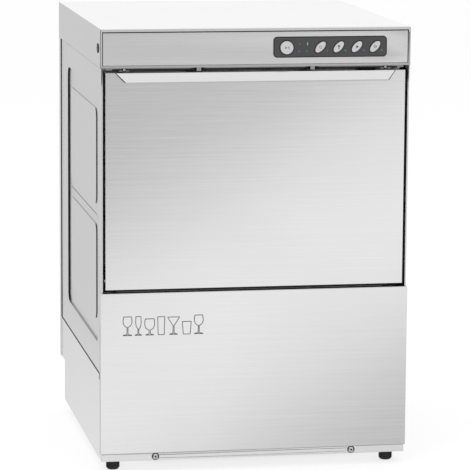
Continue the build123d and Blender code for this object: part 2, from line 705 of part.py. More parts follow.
def rinse_arm(z, jets_up):
    """Round tube with a hub, set across the wash arm."""
    d = tub_mid_d
    mid = z + 5
    arm = rod_y(0, d - arm_reach, d + arm_reach, mid, 4.8)
    arm -= rod_y(0, d - arm_reach + 1.5, d + arm_reach - 1.5, mid, 3.6)
    arm += rod_z(0, d, z, z + 10, journal_r + 5)
    jet_z = mid + 5 if jets_up else mid - 5
    for k in range(5):
        for sy in (-1, 1):
            arm -= rod_z(0, d + sy * (34 + k * (arm_reach - 52) / 4), jet_z - 2.5, jet_z + 2.5, 1.2)
    return arm - rod_z(0, d, z - 1, z + 11, journal_r + fit)


def glass_basket():
    """Square moulded basket: pierced walls, a grid floor and a thick rim."""
    x, d0, d1, z0, z1 = basket_x, basket_d0, basket_d1, basket_z0, basket_z1
    w = 3.0
    mid = (d0 + d1) / 2
    half = (d1 - d0) / 2
    basket = soft_slab(-x, x, d0, d1, z0, z1, 14, Axis.Z)
    basket -= soft_slab(-x + w, x - w, d0 + w, d1 - w, z0 + 5, z1 + 1, 14 - w, Axis.Z)
    rim = soft_slab(-x, x, d0, d1, z1 - 6, z1, 14, Axis.Z)
    rim -= soft_slab(-x + 7, x - 7, d0 + 7, d1 - 7, z1 - 7, z1 + 1, 8, Axis.Z)
    basket += rim
    cells = 9
    low, high = z0 + 16, z1 - 18
    for k in range(cells):
        cx = -x + 18 + (k + 0.5) * (2 * x - 36) / cells
        cd = d0 + 18 + (k + 0.5) * (d1 - d0 - 36) / cells
        wx = (2 * x - 36) / cells / 2 - 3
        wd = (d1 - d0 - 36) / cells / 2 - 3
        basket -= slab(cx - wx, cx + wx, d0 - 1, d1 + 1, low, high)
        basket -= slab(-x - 1, x + 1, cd - wd, cd + wd, low, high)
    for i in range(cells):
        for j in range(cells):
            cx = -x + 12 + (i + 0.5) * (2 * x - 24) / cells
            cd = mid - half + 12 + (j + 0.5) * (2 * half - 24) / cells
            basket -= slab(cx - 15, cx + 15, cd - 15, cd + 15, z0 - 1, z0 + 6)
    return basket


def tank_heater():
    z = tub_z0 + heater_up
    back = tub_back_d + 10
    front = tub_front_d + 46
    x = heater_x
    element = bent_rod([(-x, back, z), (-x, front, z), (x, front, z), (x, back, z)], heater_r, 40)
    for sx in (-1, 1):
        element += rod_y(sx * x, tub_back_d + 0.1, tub_back_d + 5, z, heater_r + 4)
    return element


# ---- machine compartment ----
def wash_pump_housing():
    d, z = suction_d, pump_z
    body = rod_x(pump_x0, pump_x0 + 34, d, z, volute_r)
    body += rod_x(pump_x0 - 16, pump_x0, d, z, 15)
    body += rod_z(pump_x0 + 17, d, z, z + volute_r + 12, 12)
    body -= rod_x(pump_x0 + 5, pump_x0 + 29, d, z, volute_r - 6)
    body -= rod_x(pump_x0 - 17, pump_x0 + 6, d, z, 11)
    body -= rod_z(pump_x0 + 17, d, z, z + volute_r + 13, 8)
    return body - rod_x(pump_x0 + 28, pump_x0 + 35, d, z, shaft_r + fit)


def pump_motor():
    d, z = suction_d, pump_z
    can = rod_x(motor_x0, motor_x1, d, z, motor_r)
    can -= rod_x(motor_x0 + 4, motor_x1 - 6, d, z, motor_r - 5)
    can -= rod_x(motor_x0 - 1, motor_x0 + 5, d, z, shaft_r + fit)
    can += rod_x(motor_x0 - 2, motor_x0, d, z, motor_r) - rod_x(motor_x0 - 3, motor_x0 + 1, d, z, 9)
    for sd in (-1, 1):
        foot_d = d + sd * 25
        can += slab(motor_x0 + 20, motor_x1 - 20, foot_d - 3, foot_d + 3,
                    rim_z + tub_sheet, z - motor_r + 12)
    return can


def pump_rotor():
    d, z = suction_d, pump_z
    rotor = rod_x(pump_x0 + 9, motor_x1 - 10, d, z, shaft_r)
    rotor += rod_x(motor_x0 + 18, motor_x1 - 22, d, z, motor_r - 8)
    rotor += rod_x(pump_x0 + 20, pump_x0 + 23, d, z, volute_r - 9)
    blade = slab(pump_x0 + 9, pump_x0 + 20, d + 6, d + volute_r - 11, z - 1.2, z + 1.2)
    hub = Axis((0, front_y + d, z), (1, 0, 0))
    for k in range(5):
        rotor += blade.rotate(hub, 72 * k)
    return rotor


def boiler():
    d0, d1 = boiler_d0, boiler_d1
    can = rod_y(boiler_x, d0, d1, boiler_z, boiler_r)
    can = fillet(can.edges().filter_by(GeomType.CIRCLE), 10)
    hollow = rod_y(boiler_x, d0 + 2, d1 - 2, boiler_z, boiler_r - 2)
    hollow = fillet(hollow.edges().filter_by(GeomType.CIRCLE), 8)
    can -= hollow
    can += rod_y(boiler_x, d0 - 6, d0, boiler_z, 30) - rod_y(boiler_x, d0 - 7, d0 + 3, boiler_z, 20)
    can -= rod_y(boiler_x, d0 - 7, d0 + 3, boiler_z, 20)
    for d in (d0 + 40, d1 - 40):
        can += slab(boiler_x - 30, boiler_x + 30, d - 3, d + 3, rim_z + tub_sheet, boiler_z - boiler_r + 12)
    can -= hollow
    can -= rod_z(boiler_x, d1 - 40, boiler_z, boiler_z + boiler_r + 1, 5)
    return can


def boiler_element():
    d0 = boiler_d0
    flange = rod_y(boiler_x, d0 - 10, d0 - 6.1, boiler_z, 28)
    plug = rod_y(boiler_x, d0 - 6.1, d0 + 4, boiler_z, 19)
    z_low, z_high = boiler_z - 12, boiler_z + 12
    d1 = boiler_d1 - 30
    loop = bent_rod([(boiler_x, d0, z_low), (boiler_x, d1, z_low), (boiler_x, d1, z_high),
                     (boiler_x, d0, z_high)], 4, 11)
    posts = rod_y(boiler_x, d0 - 22, d0 - 9, z_low, 3) + rod_y(boiler_x, d0 - 22, d0 - 9, z_high, 3)
    return flange + plug + loop + posts


def water_inlet():
    stem = rod_y(inlet_x, base_d, base_d + inlet_out, inlet_z, inlet_r)
    nut = rod_y(inlet_x, base_d, base_d + 5, inlet_z, inlet_r + 3.5)
    inside = rod_y(inlet_x, base_d - 8, base_d, inlet_z, inlet_r - 2.2)
    return stem + nut + inside - rod_y(inlet_x, base_d - 9, base_d + inlet_out + 1, inlet_z, 9)


def drain_stub():
    stem = rod_y(drain_x, base_d, base_d + drain_out, drain_z, drain_r)
    flange = rod_y(drain_x, base_d, base_d + 3, drain_z, drain_r + 5)
    inside = rod_y(drain_x, base_d - 26, base_d, drain_z, drain_r - 2.2)
    return stem + flange + inside - rod_y(drain_x, base_d - 27, base_d + drain_out + 1, drain_z, drain_r - 4)


def cable_gland():
    hexagon = Plane(origin=(gland_x, front_y + base_d, gland_z), x_dir=(1, 0, 0), z_dir=(0, 1, 0))
    nut = extrude(hexagon * RegularPolygon(12.5, 6), amount=7)
    dome = rod_y(gland_x, base_d + 7, base_d + 20, gland_z, 10)
    dome = fillet(dome.edges().filter_by(GeomType.CIRCLE).sort_by(Axis.Y)[-1], 3)
    inside = rod_y(gland_x, base_d - 9, base_d, gland_z, 7.8)
    return nut + dome + inside - rod_y(gland_x, base_d - 10, base_d + 21, gland_z, 4.5)


def inlet_valve():
    d1 = base_d - 8.2
    body = slab(inlet_x - 15, inlet_x + 15, d1 - 40, d1, inlet_z - 15, inlet_z + 15)
    coil = soft_slab(inlet_x - 13, inlet_x + 13, d1 - 34, d1 - 6, inlet_z + 15, inlet_z + 48, 5, Axis.Z)
    return body + coil


def rinse_aid_dispenser():
    x, d = inlet_x - 5, 262.0
    box = soft_slab(x - 28, x + 28, d - 24, d + 24, rim_z + tub_sheet, rim_z + 62, 6, Axis.Z)
    return box + rod_z(x, d, rim_z + 62, rim_z + 72, 12)


def terminal_block():
    z0 = base_top - 44
    block = slab(gland_x - 28, gland_x + 12, base_d - 28, base_d - 1.3, z0, z0 + 24)
    for k in range(5):
        x = gland_x - 24 + 8 * k
        block -= rod_z(x, base_d - 20, z0 + 16, z0 + 25, 2.4)
    return block


def wash_feed_pipes():
    """Pump outlet to both spindles, with a tee under the tub."""
    x = pump_x0 + 17
    start_z = pump_z + volute_r + 12.1
    tee_z = start_z + 16
    under = tub_z0 - 0.1
    to_lower = [(x, suction_d, start_z), (x, suction_d, tee_z + 4), (0, tub_mid_d, under - 18),
                (0, tub_mid_d, under)]
    riser = [(x, suction_d + 4, tee_z), (x, riser_d, tee_z), (x, riser_d, upper_pipe_z),
             (0, tub_mid_d, upper_pipe_z), (0, tub_mid_d, tub_z1 + 0.1)]
    bore = wash_pipe_r - 2
    outer = bent_rod(to_lower, wash_pipe_r, 10) + bent_rod(riser, wash_pipe_r, 14)
    inner = bent_rod(to_lower, bore, 10) + bent_rod(riser, bore, 14)
    suction = bent_tube([(suction_x, suction_d, tub_z0 - 0.1), (suction_x, suction_d, pump_z),
                         (pump_x0 - 16.1, suction_d, pump_z)], suction_pipe_r, 2, 20)
    return group([outer - inner, suction])


def rinse_feed_pipes():
    """Valve to boiler, and boiler to both spindles."""
    out_d = boiler_d1 - 40
    top = boiler_z + boiler_r
    riser_x = -60.0
    up = [(boiler_x, out_d, top - 1), (boiler_x, out_d, top + 24), (riser_x, riser_d, top + 24),
          (riser_x, riser_d, upper_pipe_z - 6), (riser_x, tub_mid_d, upper_pipe_z - 6),
          (-9.3, tub_mid_d, upper_pipe_z - 6)]
    valve = [(inlet_x - 15.1, base_d - 30, inlet_z), (0, base_d - 30, inlet_z),
             (boiler_x, boiler_d1 + 40, inlet_z), (boiler_x, boiler_d1 + 0.1, inlet_z)]
    return group([bent_tube(up, rinse_pipe_r, 1.4, 12), bent_tube(valve, valve_pipe_r, 1.5, 18)])


def drain_hose():
    route = [(standpipe_x, standpipe_d, tub_z0 - 0.1), (standpipe_x, standpipe_d, rim_z + 96),
             (drain_x, standpipe_d + 44, drain_z + 18), (drain_x, base_d - 90, drain_z),
             (drain_x, base_d - 26.1, drain_z)]
    return bent_tube(route, hose_r, 2, 30)


# ---- all nodes ----
nodes = {
    "top_cover": top_cover(),
    "cap_side_plugs": cap_side_plugs(),
    "control_fascia": control_fascia(),
    "control_panel_plate": control_panel_plate(),
    "start_button": start_button(),
    "indicator_lenses": indicator_lenses(),
    "control_board": control_board(),
    "side_panel_right": side_panel(),
    "side_panel_left": mirror(side_panel(), about=Plane.YZ),
    "base_frame": base_frame(),
    "lower_front_panel": lower_front_panel(),
    "rear_cover": rear_cover(),
    "cover_screws": cover_screws(),
    "header_rail": header_rail(),
    "front_posts": front_posts(),
    "door_catch_housings": door_catch_housings(),
    "catch_tongue_left": catch_tongue(-1),
    "catch_tongue_right": catch_tongue(1),
    "hinge_brackets": hinge_brackets(),
    "hinge_pins": hinge_pins(),
    "hinge_arms": hinge_arms(),
    "door_springs": door_springs(),
    "door_switch": door_switch(),
    "jamb_buffers": jamb_buffers(),
    "door_outer_skin": door_outer_skin(),
    "door_inner_liner": door_inner_liner(),
    "door_gasket": door_gasket(),
    "wash_tub": wash_tub(),
    "rack_rails": rack_rails(),
    "tank_filter": tank_filter(),
    "standpipe": standpipe(),
    "arm_spindles": arm_spindles(),
    "lower_wash_arm": wash_arm(lower_arm_z, True),
    "lower_rinse_arm": rinse_arm(lower_arm_z + arm_h + gap, True),
    "upper_wash_arm": wash_arm(upper_arm_z, False),
    "upper_rinse_arm": rinse_arm(upper_arm_z - gap - 10, False),
    "glass_basket": glass_basket(),
    "tank_heater": tank_heater(),
    "wash_pump_housing": wash_pump_housing(),
    "pump_motor": pump_motor(),
    "pump_rotor": pump_rotor(),
    "boiler": boiler(),
    "boiler_element": boiler_element(),
    "water_inlet": water_inlet(),
    "drain_stub": drain_stub(),
    "cable_gland": cable_gland(),
    "inlet_valve": inlet_valve(),
    "rinse_aid_dispenser": rinse_aid_dispenser(),
    "terminal_block": terminal_block(),
    "wash_feed_pipes": wash_feed_pipes(),
    "rinse_feed_pipes": rinse_feed_pipes(),
    "drain_hose": drain_hose(),
}
for number, place in enumerate(oval_places(), start=1):
    nodes[f"program_button_{number}"] = program_button(place)
for side_name, side in (("left", -1), ("right", 1)):
    nodes[f"foot_front_{side_name}"] = foot(side, foot_front_d)
    nodes[f"foot_rear_{side_name}"] = foot(side, foot_rear_d)

os.makedirs("parts", exist_ok=True)
for name, piece in nodes.items():
    export_step(piece, f"parts/{name}.step")
print(len(nodes), "nodes")
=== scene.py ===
"""Looks of an under-counter glass washer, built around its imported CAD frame.

All places come from the CAD boxes; lengths in the helpers are millimetres, turned to metres by MM.
"""
import json
import math

import bmesh
import bpy
from mathutils import Matrix, Vector

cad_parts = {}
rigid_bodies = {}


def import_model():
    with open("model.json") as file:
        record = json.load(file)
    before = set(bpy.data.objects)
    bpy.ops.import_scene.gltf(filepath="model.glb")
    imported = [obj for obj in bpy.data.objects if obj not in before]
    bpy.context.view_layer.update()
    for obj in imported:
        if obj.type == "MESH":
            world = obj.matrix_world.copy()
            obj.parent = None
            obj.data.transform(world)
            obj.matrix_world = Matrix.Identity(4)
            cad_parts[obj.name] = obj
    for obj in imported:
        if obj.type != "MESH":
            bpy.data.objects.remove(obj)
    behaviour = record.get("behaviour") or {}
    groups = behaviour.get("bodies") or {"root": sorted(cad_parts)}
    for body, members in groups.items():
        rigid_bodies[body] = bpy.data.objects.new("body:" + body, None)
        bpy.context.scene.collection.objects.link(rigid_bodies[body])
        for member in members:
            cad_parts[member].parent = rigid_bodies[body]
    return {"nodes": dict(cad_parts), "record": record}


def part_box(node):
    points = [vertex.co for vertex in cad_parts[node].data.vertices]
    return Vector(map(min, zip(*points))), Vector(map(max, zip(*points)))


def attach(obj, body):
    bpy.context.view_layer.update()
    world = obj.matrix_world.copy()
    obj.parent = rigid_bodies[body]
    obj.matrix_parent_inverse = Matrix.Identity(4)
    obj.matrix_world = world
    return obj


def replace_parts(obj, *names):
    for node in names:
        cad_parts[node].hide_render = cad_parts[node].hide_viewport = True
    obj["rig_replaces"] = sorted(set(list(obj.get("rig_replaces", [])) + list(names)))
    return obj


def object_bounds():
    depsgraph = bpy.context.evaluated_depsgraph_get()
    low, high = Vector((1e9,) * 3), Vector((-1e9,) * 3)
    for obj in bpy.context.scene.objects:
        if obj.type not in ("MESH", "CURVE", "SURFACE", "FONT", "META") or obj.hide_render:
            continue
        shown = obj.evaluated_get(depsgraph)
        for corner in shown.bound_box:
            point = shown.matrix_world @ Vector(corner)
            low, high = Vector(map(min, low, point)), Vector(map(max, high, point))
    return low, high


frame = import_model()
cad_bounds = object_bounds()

MM = 0.001
UPRIGHT = Matrix.Rotation(math.radians(90), 4, "X")   # stands a flat shape up, facing the front
nodes = frame["nodes"]
body_of_node = {n: b for b, members in frame["record"]["behaviour"]["bodies"].items() for n in members}
slot_of_node = {s["node"]: s["material_slot"] for s in frame["record"]["subparts"]}

# ---- sizes of the finish, millimetres ----
CASING_SHEET = 1.0
COVER_POST = 2.6            # front frame of the top cover beside the fascia
COVER_RAIL = 3.0            # front frame under the fascia
COVER_EDGE = 4.0            # folded edge of the top sheet above the fascia
COVER_RETURN = 12.0
BEND = 1.3                  # outside radius of a folded corner
PANEL_BEND = 2.4
DOOR_BEND = 2.8
LIP_OUT = 12.0
LIP_DROP = 12.0
LIP_INSET = 14.0
LIP_SHEET = 1.2
BEAD_WIDTH = 27.0
BEAD_DEPTH = 2.3
FIELD_RISE = 1.1
BEAD_CORNER = 14.0
BEAD_FRONT = 34.0
BEAD_BACK = 76.0
BEAD_BELOW = 40.0
BEAD_ABOVE = 34.0
PLATE_CORNER = 5.5
JAMB_STRIP = 2.0
JAMB_FOLD = 14.0
OVAL_TILT = 47.0            # degrees
OVAL_LONG, OVAL_SHORT = 18.2, 9.4
START_DIAMETER = 17.8
KEY_GAP = 0.3               # clearance round a key in its hole
WINDOW_INSET = 4.0          # fascia window inside the control plate's ends
WINDOW_RISE = 11.5          # half the window's height
SPRING_SLOT = (2.0, 9.0)    # slots in the door's lower fold, in from its sides
SPRING_SLOT_BACK = 6.0
SPRING_FOOT, SPRING_CROWN = 77.0, 7.0   # ends of the coil, below the CAD spring's top
SPRING_END = 2.2            # upper end wire stops this far below the CAD spring's top
COIL_SIDE = 4.6             # outer radius of the coil
COIL_RADIUS = 3.85
WIRE_RADIUS = 0.68
END_RADIUS = 0.85
ROW_START = -185.0          # pressed row of glasses: left end, foot height, gap and relief
ROW_FOOT = 193.2
ROW_GAP = 3.4
ROW_HEIGHT = 1.0


# ---- camera and light ----
VIEW_YAW = 10.403
VIEW_PITCH = 9.183
VIEW_ROLL = 0.389
VIEW_DISTANCE = 3.9776
LENS = 221.77


def show(obj):
    bpy.context.scene.collection.objects.link(obj)
    return obj


def as_object(name, bm):
    mesh = bpy.data.meshes.new(name)
    bm.to_mesh(mesh)
    bm.free()
    return show(bpy.data.objects.new(name, mesh))


def camera():
    low, high = cad_bounds
    aim = Vector((-0.02865, low[1] + 0.012, low[2] + 0.32933))
    yaw, pitch, roll = (math.radians(a) for a in (VIEW_YAW, VIEW_PITCH, VIEW_ROLL))
    look = Vector((math.sin(yaw) * math.cos(pitch), math.cos(yaw) * math.cos(pitch), -math.sin(pitch)))
    right = Vector((math.cos(yaw), -math.sin(yaw), 0))
    up = right.cross(look)
    rolled_right = math.cos(roll) * right + math.sin(roll) * up
    rolled_up = math.cos(roll) * up - math.sin(roll) * right
    data = bpy.data.cameras.new("camera")
    data.lens = LENS
    data.clip_end = 60
    obj = bpy.data.objects.new("camera", data)
    turn = Matrix((rolled_right, rolled_up, -look)).transposed().to_4x4()
    obj.matrix_world = Matrix.Translation(aim - VIEW_DISTANCE * look) @ turn
    bpy.context.scene.camera = show(obj)


def softbox(name, place, aim, size, power):
    """Soft light that shapes the matt parts. The metal shows only the room round it."""
    data = bpy.data.lights.new(name, "AREA")
    data.shape = "RECTANGLE"
    data.size, data.size_y = size
    data.energy = power
    obj = bpy.data.objects.new(name, data)
    look = Vector(aim) - Vector(place)
    obj.matrix_world = Matrix.Translation(place) @ look.to_track_quat("-Z", "Y").to_matrix().to_4x4()
    obj.visible_camera = False
    obj.visible_glossy = False
    show(obj)


def smooth_step(tree, value, start, end, low, high):
    step = add(tree, "MapRange")
    step.interpolation_type = "SMOOTHSTEP"
    for label, number in (("From Min", start), ("From Max", end), ("To Min", low), ("To Max", high)):
        step.inputs[label].default_value = number
    tree.links.new(value, step.inputs["Value"])
    return step.outputs["Result"]


def room(tree):
    """Brightness of the studio by direction: a slanting light band in front, a bright wall behind."""
    where = add(tree, "TexCoord")
    split = add(tree, "SeparateXYZ")
    tree.links.new(where.outputs["Generated"], split.inputs["Vector"])
    x, y, z = (split.outputs[c] for c in "XYZ")
    slant = math_node(tree, "MULTIPLY", x, -BAND_SLOPE)
    slant = math_node(tree, "ADD", slant, z)
    slant = math_node(tree, "ADD", slant, BAND_PLACE)
    upper = smooth_step(tree, slant, *BAND_UPPER, BAND_LIGHT, FRONT_DARK)
    lower = smooth_step(tree, slant, *BAND_LOWER, LOWER_DARK, BAND_LIGHT)
    front = math_node(tree, "MINIMUM", upper, lower)
    high = smooth_step(tree, x, *WALL_TURN, WALL_LOW, WALL_HIGH)
    low = smooth_step(tree, z, *WALL_FOOT, WALL_BOTTOM, WALL_LOW)
    behind = mixed(tree, smooth_step(tree, z, *WALL_EDGE, 0.0, 1.0), low, high)
    along = smooth_step(tree, y, -0.35, 0.35, 0.0, 1.0)
    level = mixed(tree, along, front, behind)
    left = smooth_step(tree, x, *FLAG_LEFT, 1.0, 0.0)
    level = mixed(tree, left, level, FLAG_DARK)
    right = smooth_step(tree, x, *FLAG_RIGHT, 0.0, 1.0)
    level = mixed(tree, right, level, FLAG_DARK)
    above = smooth_step(tree, z, 0.3, 0.75, 0.0, 1.0)
    level = mixed(tree, above, level, CEILING)
    below = smooth_step(tree, z, -0.9, -0.5, 1.0, 0.0)
    return mixed(tree, below, level, UNDERSIDE)


def mixed(tree, amount, first, second):
    mix = add(tree, "Mix")
    tree.links.new(amount, mix.inputs[0])
    for socket, value in zip(mix.inputs[2:4], (first, second)):
        if isinstance(value, (int, float)):
            socket.default_value = value
        else:
            tree.links.new(value, socket)
    return mix.outputs[0]


BAND_SLOPE = 0.6
BAND_PLACE = 0.175 + 0.6 * 0.185
BAND_UPPER = (0.030, 0.054)
BAND_LOWER = (-0.066, -0.040)
BAND_LIGHT = 1.34
FRONT_DARK = 0.74
LOWER_DARK = 0.70
WALL_EDGE = (-0.06, 0.10)
WALL_FOOT = (-0.24, -0.17)
WALL_TURN = (-0.10, 0.08)
WALL_BOTTOM = 1.0
WALL_LOW = 0.85
WALL_HIGH = 1.36
CEILING = 1.16
UNDERSIDE = 0.75
FLAG_LEFT = (-0.90, -0.55)
FLAG_RIGHT = (0.70, 0.92)
FLAG_DARK = 0.16


def studio():
    world = bpy.data.worlds.new("studio")
    world.use_nodes = True
    bpy.context.scene.world = world
    tree = world.node_tree
    tree.nodes.clear()
    out = add(tree, "OutputWorld")
    seen = add(tree, "Background")
    seen.inputs["Color"].default_value = (1, 1, 1, 1)
    seen.inputs["Strength"].default_value = 1.02
    around = add(tree, "Background")
    tree.links.new(room(tree), around.inputs["Strength"])
    path = add(tree, "LightPath")
    choose = add(tree, "MixShader")
    tree.links.new(path.outputs["Is Camera Ray"], choose.inputs[0])
    tree.links.new(around.outputs[0], choose.inputs[1])
    tree.links.new(seen.outputs[0], choose.inputs[2])
    tree.links.new(choose.outputs[0], out.inputs["Surface"])
    softbox("overhead", (-0.3, -0.2, 2.6), (0, 0, 0.3), (2.6, 2.6), 22)
    softbox("front_left", (-2.2, -2.4, 1.7), (0, 0, 0.3), (1.6, 1.8), 16)
    bpy.context.scene.view_settings.view_transform = "Standard"

    bm = bmesh.new()
    bmesh.ops.create_grid(bm, x_segments=2, y_segments=2, size=60)
    floor = as_object("floor", bm)
    floor.location.z = -0.0002
    floor.data.materials.append(floor_paint())
    floor.visible_glossy = False
    floor.visible_shadow = False


# ---- shader groups ----
def group(name, inputs, outputs):
    tree = bpy.data.node_groups.new(name, "ShaderNodeTree")
    for label, kind, value in inputs:
        socket = tree.interface.new_socket(name=label, in_out="INPUT", socket_type="NodeSocket" + kind)
        socket.default_value = value
    for label, kind in outputs:
        tree.interface.new_socket(name=label, in_out="OUTPUT", socket_type="NodeSocket" + kind)
    return tree, tree.nodes.new("NodeGroupInput"), tree.nodes.new("NodeGroupOutput")


def add(tree, kind, **values):
    node = tree.nodes.new("ShaderNode" + kind)
    for key, value in values.items():
        if hasattr(node, key):
            setattr(node, key, value)
        else:
            node.inputs[key.replace("_", " ")].default_value = value
    return node


def math_node(tree, operation, a, b):
    node = add(tree, "Math")
    node.operation = operation
    for socket, value in zip(node.inputs, (a, b)):
        if isinstance(value, (int, float)):
            socket.default_value = value
        else:
            tree.links.new(value, socket)
    return node.outputs[0]


def brushed_group():
    """Fine brushing lines along one direction, with a slow change of sheen over the sheet."""
    tree, into, out = group("brushed_steel_grain",
                            [("Stretch", "Vector", (3, 3, 900)), ("Top Stretch", "Vector", (3, 900, 900)),
                             ("Roughness", "Float", 0.3), ("Grain", "Float", 0.06),
                             ("Cloud", "Float", 0.04)],
                            [("Roughness", "Float"), ("Height", "Float"), ("Tone", "Float")])
    where = add(tree, "TexCoord")
    facing = add(tree, "SeparateXYZ")
    tree.links.new(where.outputs["Normal"], facing.inputs[0])
    upward = math_node(tree, "ABSOLUTE", facing.outputs["Z"], 0.0)
    lines = []
    for label in ("Stretch", "Top Stretch"):
        scaled = add(tree, "VectorMath", operation="MULTIPLY")
        tree.links.new(where.outputs["Object"], scaled.inputs[0])
        tree.links.new(into.outputs[label], scaled.inputs[1])
        noise = add(tree, "TexNoise", Scale=1.0, Detail=3.0, Roughness=0.65)
        tree.links.new(scaled.outputs[0], noise.inputs["Vector"])
        lines.append(noise.outputs["Fac"])
    mix = add(tree, "Mix")
    tree.links.new(upward, mix.inputs[0])
    tree.links.new(lines[0], mix.inputs[2])
    tree.links.new(lines[1], mix.inputs[3])
    grain = math_node(tree, "SUBTRACT", mix.outputs[0], 0.5)
    cloud = add(tree, "TexNoise", Scale=5.0, Detail=2.0)
    tree.links.new(where.outputs["Object"], cloud.inputs["Vector"])
    cloudy = math_node(tree, "SUBTRACT", cloud.outputs["Fac"], 0.5)
    rough = math_node(tree, "MULTIPLY", grain, into.outputs["Grain"])
    rough = math_node(tree, "ADD", rough, into.outputs["Roughness"])
    haze = math_node(tree, "MULTIPLY", cloudy, into.outputs["Cloud"])
    rough = math_node(tree, "ADD", rough, haze)
    tree.links.new(rough, out.inputs["Roughness"])
    tree.links.new(mix.outputs[0], out.inputs["Height"])
    tone = math_node(tree, "MULTIPLY", grain, 0.16)
    tone = math_node(tree, "ADD", tone, 1.0)
    tree.links.new(tone, out.inputs["Tone"])
    return tree


def edge_wear_and_highlight_group():
    """Mask of the raised edges, for a thin lighter line that is partly wear and partly a painted highlight.
    """
    tree, into, out = group("worn_and_highlit_edges", [("Width", "Float", 0.02)], [("Mask", "Float")])
    shape = add(tree, "NewGeometry")
    edge = add(tree, "MapRange", From_Min=0.51, From_Max=0.56)
    tree.links.new(shape.outputs["Pointiness"], edge.inputs["Value"])
    where = add(tree, "TexCoord")
    noise = add(tree, "TexNoise", Scale=160.0, Detail=3.0)
    tree.links.new(where.outputs["Object"], noise.inputs["Vector"])
    patchy = math_node(tree, "MULTIPLY", edge.outputs["Result"], noise.outputs["Fac"])
    strength = math_node(tree, "MULTIPLY", into.outputs["Width"], 50.0)
    tree.links.new(math_node(tree, "MULTIPLY", patchy, strength), out.inputs["Mask"])
    return tree


def moulded_group():
    """Skin of a moulding: fine spark texture and a slow unevenness."""
    tree, into, out = group("moulded_skin",
                            [("Scale", "Float", 2600.0), ("Roughness", "Float", 0.5),
                             ("Spread", "Float", 0.1)],
                            [("Roughness", "Float"), ("Height", "Float"), ("Tone", "Float")])
    where = add(tree, "TexCoord")
    fine = add(tree, "TexNoise", Detail=2.0)
    tree.links.new(where.outputs["Object"], fine.inputs["Vector"])
    tree.links.new(into.outputs["Scale"], fine.inputs["Scale"])
    slow = add(tree, "TexNoise", Scale=38.0, Detail=2.0)
    tree.links.new(where.outputs["Object"], slow.inputs["Vector"])
    sway = math_node(tree, "SUBTRACT", slow.outputs["Fac"], 0.5)
    sway = math_node(tree, "MULTIPLY", sway, into.outputs["Spread"])
    tree.links.new(math_node(tree, "ADD", sway, into.outputs["Roughness"]), out.inputs["Roughness"])
    tree.links.new(fine.outputs["Fac"], out.inputs["Height"])
    tree.links.new(math_node(tree, "ADD", sway, 1.0), out.inputs["Tone"])
    return tree


BRUSHED = brushed_group()
EDGE_WEAR_AND_HIGHLIGHT = edge_wear_and_highlight_group()
MOULDED = moulded_group()


def base_material(name):
    material = bpy.data.materials.new(name)
    material.use_nodes = True
    tree = material.node_tree
    return material, tree, tree.nodes["Principled BSDF"]


def tinted(tree, colour, tone, edge_mask=None, edge_colour=None):
    """Colour times a tone that changes over the surface, with lighter edges where asked: partly wear, partly
    a painted highlight.
    """
    scale = add(tree, "VectorMath")
    scale.operation = "SCALE"
    scale.inputs[0].default_value = colour
    tree.links.new(tone, scale.inputs["Scale"])
    if edge_mask is None:
        return scale.outputs[0]
    mix = add(tree, "Mix")
    mix.data_type = "RGBA"
    tree.links.new(edge_mask, mix.inputs[0])
    tree.links.new(scale.outputs[0], mix.inputs[6])
    mix.inputs[7].default_value = (*edge_colour, 1)
    return mix.outputs[2]


def bumped(tree, shader, height, strength, distance):
    bump = add(tree, "Bump")
    bump.inputs["Strength"].default_value = strength
    bump.inputs["Distance"].default_value = distance
    tree.links.new(height, bump.inputs["Height"])
    tree.links.new(bump.outputs["Normal"], shader.inputs["Normal"])


def steel(name, colour, roughness, stretch=(6, 6, 900), grain=0.05, bump=0.02, edge=0.25):
    material, tree, shader = base_material(name)
    lines = add(tree, "Group")
    lines.node_tree = BRUSHED
    lines.inputs["Stretch"].default_value = stretch
    lines.inputs["Roughness"].default_value = roughness
    lines.inputs["Grain"].default_value = grain
    edge_wear_and_highlight_node = add(tree, "Group")
    edge_wear_and_highlight_node.node_tree = EDGE_WEAR_AND_HIGHLIGHT
    edge_wear_and_highlight_node.inputs["Width"].default_value = edge * 0.02
    # the raised edges turn lighter: partly wear, partly a painted edge highlight
    bright = tuple(min(1.0, c * 1.12) for c in colour)
    paint = tinted(tree, colour, lines.outputs["Tone"], edge_wear_and_highlight_node.outputs["Mask"], bright)
    tree.links.new(paint, shader.inputs["Base Color"])
    tree.links.new(lines.outputs["Roughness"], shader.inputs["Roughness"])
    shader.inputs["Metallic"].default_value = 1.0
    bumped(tree, shader, lines.outputs["Height"], bump, 0.0002)
    return material


def plastic(name, colour, roughness, scale=2600.0, spread=0.1, bump=0.08, coat=0.0):
    material, tree, shader = base_material(name)
    skin = add(tree, "Group")
    skin.node_tree = MOULDED
    skin.inputs["Scale"].default_value = scale
    skin.inputs["Roughness"].default_value = roughness
    skin.inputs["Spread"].default_value = spread
    tree.links.new(tinted(tree, colour, skin.outputs["Tone"]), shader.inputs["Base Color"])
    tree.links.new(skin.outputs["Roughness"], shader.inputs["Roughness"])
    shader.inputs["Coat Weight"].default_value = coat
    bumped(tree, shader, skin.outputs["Height"], bump, 0.0002)
    return material


def floor_paint():
    """Pale studio floor: a matt white lit evenly from within, so only a faint contact shade is left."""
    material, tree, shader = base_material("studio_floor")
    shader.inputs["Base Color"].default_value = (0.30, 0.30, 0.30, 1)
    shader.inputs["Roughness"].default_value = 0.9
    shader.inputs["Specular IOR Level"].default_value = 0.0
    shader.inputs["Emission Color"].default_value = (1, 1, 1, 1)
    shader.inputs["Emission Strength"].default_value = 0.74
    return material


